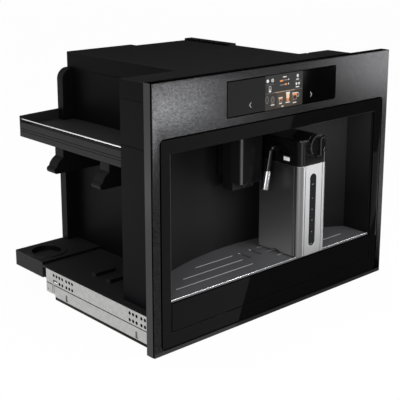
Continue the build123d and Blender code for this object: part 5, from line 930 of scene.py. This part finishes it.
# %% [markdown]
# The studio: a pale floor and a white surround. For the eye, and for what metal and glass reflect,
# the surround is plain white; what it sends out as light is weaker, so that lamps can shape things.
# The kinds of ray tell the two apart.

# %% White surround
WHITE = linear("#ffffff")


def any_ray(tree, *kinds):
    """One for a ray of any of these kinds, and nothing for all others."""
    path = add_node(tree, "ShaderNodeLightPath")
    found = path.outputs[kinds[0]]
    for kind in kinds[1:]:
        found = add_node(tree, "ShaderNodeMath", operation="MAXIMUM",
                         links={0: found, 1: path.outputs[kind]}).outputs[0]
    return found


world = bpy.data.worlds.new("studio")
bpy.context.scene.world = world
world.use_nodes = True
sky = world.node_tree
sky.nodes.clear()
lit = add_node(sky, "ShaderNodeBackground", {"Color": WHITE, "Strength": 0.5})
shown = add_node(sky, "ShaderNodeBackground", {"Color": WHITE, "Strength": 1.0})
mixed = add_node(sky, "ShaderNodeMixShader", links={
    0: any_ray(sky, "Is Camera Ray", "Is Glossy Ray", "Is Transmission Ray"),
    1: lit.outputs[0], 2: shown.outputs[0]})
add_node(sky, "ShaderNodeOutputWorld", links={"Surface": mixed.outputs[0]})
print("surround: lights at 0.5 and shows as 1.0")

# %% [markdown]
# The floor is white paper that glows for the eye and for reflections, all but a small share that
# keeps the shadow. Black cards lie on it, and a flag stands behind: only mirror rays meet them, and
# they give the glass and the steel the dark shapes that a photographer puts into polished things.

# %% Floor, black cards and flag
GLOW_SHARE = 0.97        # how much of the floor's white is its own
FLOOR_Z, CARD_Z = -0.001, -0.0004


def lying(z, *outline):
    """The corners of a flat outline at a height."""
    return [(x, y, z) for x, y in outline]


def flat_card(name, corners, colour):
    """A flat polygon of the studio, given by its corners in metres."""
    shape = bpy.data.meshes.new(name)
    shape.from_pydata(corners, [], [range(len(corners))])
    sheet = bpy.data.objects.new(name, shape)
    bpy.context.collection.objects.link(sheet)
    sheet.data.materials.append(colour)
    print(name, len(corners), "corners")
    return sheet


floor_paint = finish("studio floor, white", "#f2f2f2", 0.9, Specular_IOR_Level=0.1)
tree = floor_paint.node_tree
share = add_node(tree, "ShaderNodeMath", {1: GLOW_SHARE},
                 {0: any_ray(tree, "Is Camera Ray", "Is Glossy Ray")}, operation="MULTIPLY")
glow = add_node(tree, "ShaderNodeEmission", {"Color": WHITE, "Strength": 1.0})
mixed = add_node(tree, "ShaderNodeMixShader", links={
    0: share.outputs[0], 1: tree.nodes["Principled BSDF"].outputs[0], 2: glow.outputs[0]})
tree.links.new(mixed.outputs[0], tree.nodes["Material Output"].inputs["Surface"])
flat_card("studio floor", lying(FLOOR_Z, (-12, -12), (12, -12), (12, 12), (-12, 12)), floor_paint)

card_paint = finish("black card", "#020202", 1.0, Specular_IOR_Level=0.0)
cards = {
    "near black card": lying(CARD_Z, (-0.135, 0.0), (0.11, -0.2), (9.0, -0.2), (9.0, 4.0),
                             (0.4, 4.0)),
    "far black card": lying(CARD_Z, (0.674, -0.66), (9.0, -7.45), (9.0, -6.46), (1.156, -0.66)),
    "black flag": [(-0.5, 2.2, 0.0), (3.0, 0.6, 0.0), (3.0, 0.6, 1.6), (-0.5, 2.2, 1.6)],
}
for name, corners in cards.items():
    card = flat_card(name, corners, card_paint)
    card.visible_camera = card.visible_diffuse = card.visible_shadow = False

# %% [markdown]
# The lamps are soft boxes. The key stands in front on the right and draws the gleam across the
# steel, the fills and the top lamp keep the left side and the roof readable, and two small ones put
# a glint in each upper corner of the front. Three more lie on the floor, where upright metal
# mirrors them: beside the right edge, by the left side, and before the front.

# %% Lamps
def soft_box(name, place, aim, width, height, watts):
    """A rectangular lamp at a place, turned to a point."""
    light = bpy.data.lights.new(name, "AREA")
    light.shape = "RECTANGLE"
    light.size, light.size_y, light.energy = width, height, watts
    lamp = bpy.data.objects.new(name, light)
    bpy.context.collection.objects.link(lamp)
    lamp.location = place
    lamp.rotation_euler = (Vector(aim) - Vector(place)).to_track_quat("-Z", "Y").to_euler()
    print(name, watts, "W")
    return lamp


def floor_lamp(name, place, turn, width, height, watts):
    """A lamp that lies on the floor, shines up and isn't seen; turn is in degrees."""
    lamp = soft_box(name, place, (place[0], place[1], 1.0), width, height, watts)
    lamp.rotation_euler = (math.pi, 0, math.radians(turn))
    lamp.visible_camera = False


soft_box("key", (0.5, -2.1, 1.25), (0, 0.0, 0.25), 1.0, 1.0, 35)
soft_box("fill", (-1.9, -1.2, 1.3), (0, 0.0, 0.25), 1.2, 1.2, 14)
soft_box("top", (0.0, 0.3, 2.2), (0, 0.2, 0.2), 1.5, 1.5, 12)
soft_box("low fill", (-1.7, -1.0, 0.5), (-0.1, 0.05, 0.25), 0.5, 0.5, 8)
soft_box("left glint", (0.92, -1.50, 0.12), (-0.28, -0.02, 0.44), 0.26, 0.2, 5)
soft_box("right glint", (1.9, -1.2, 0.2), (0.3, -0.02, 0.44), 0.3, 0.3, 4)
floor_lamp("right edge strip", (0.978, -0.451, 0.003), -36.05, 1.6, 0.08, 1.2)
floor_lamp("side glow", (-0.66, 0.80, 0.004), 0, 0.3, 0.3, 0.9)
floor_lamp("floor strip", (-0.62, -0.75, 0.004), -42, 0.08, 1.1, 0.8)

# %% [markdown]
# The camera was solved from the corners of the steel front, a rectangle of known size: a long lens
# that stands 42 degrees to the left and looks down by 13. Shifting the view keeps the upright edges
# nearly upright.

# %% Camera
FOCAL_PIXELS, FRAME_PIXELS = 925, 400    # the lens, and the frame it was solved in
SENSOR = 36.0                            # the sensor's width in millimetres
LEFT_TURN, LOOK_DOWN = 42.09, 13.16      # degrees

camera_data = bpy.data.cameras.new("camera")
camera_data.sensor_width = SENSOR
camera_data.lens = FOCAL_PIXELS / FRAME_PIXELS * SENSOR
camera_data.shift_y = -0.15
camera = bpy.data.objects.new("camera", camera_data)
bpy.context.collection.objects.link(camera)
camera.location = (-1.1735, -1.1002, 0.6926)
camera.rotation_euler = (math.radians(90 - LOOK_DOWN), 0, math.radians(-LEFT_TURN))
bpy.context.scene.camera = camera
bpy.context.scene.view_settings.view_transform = "Standard"
print("lens:", round(camera_data.lens, 2), "mm")
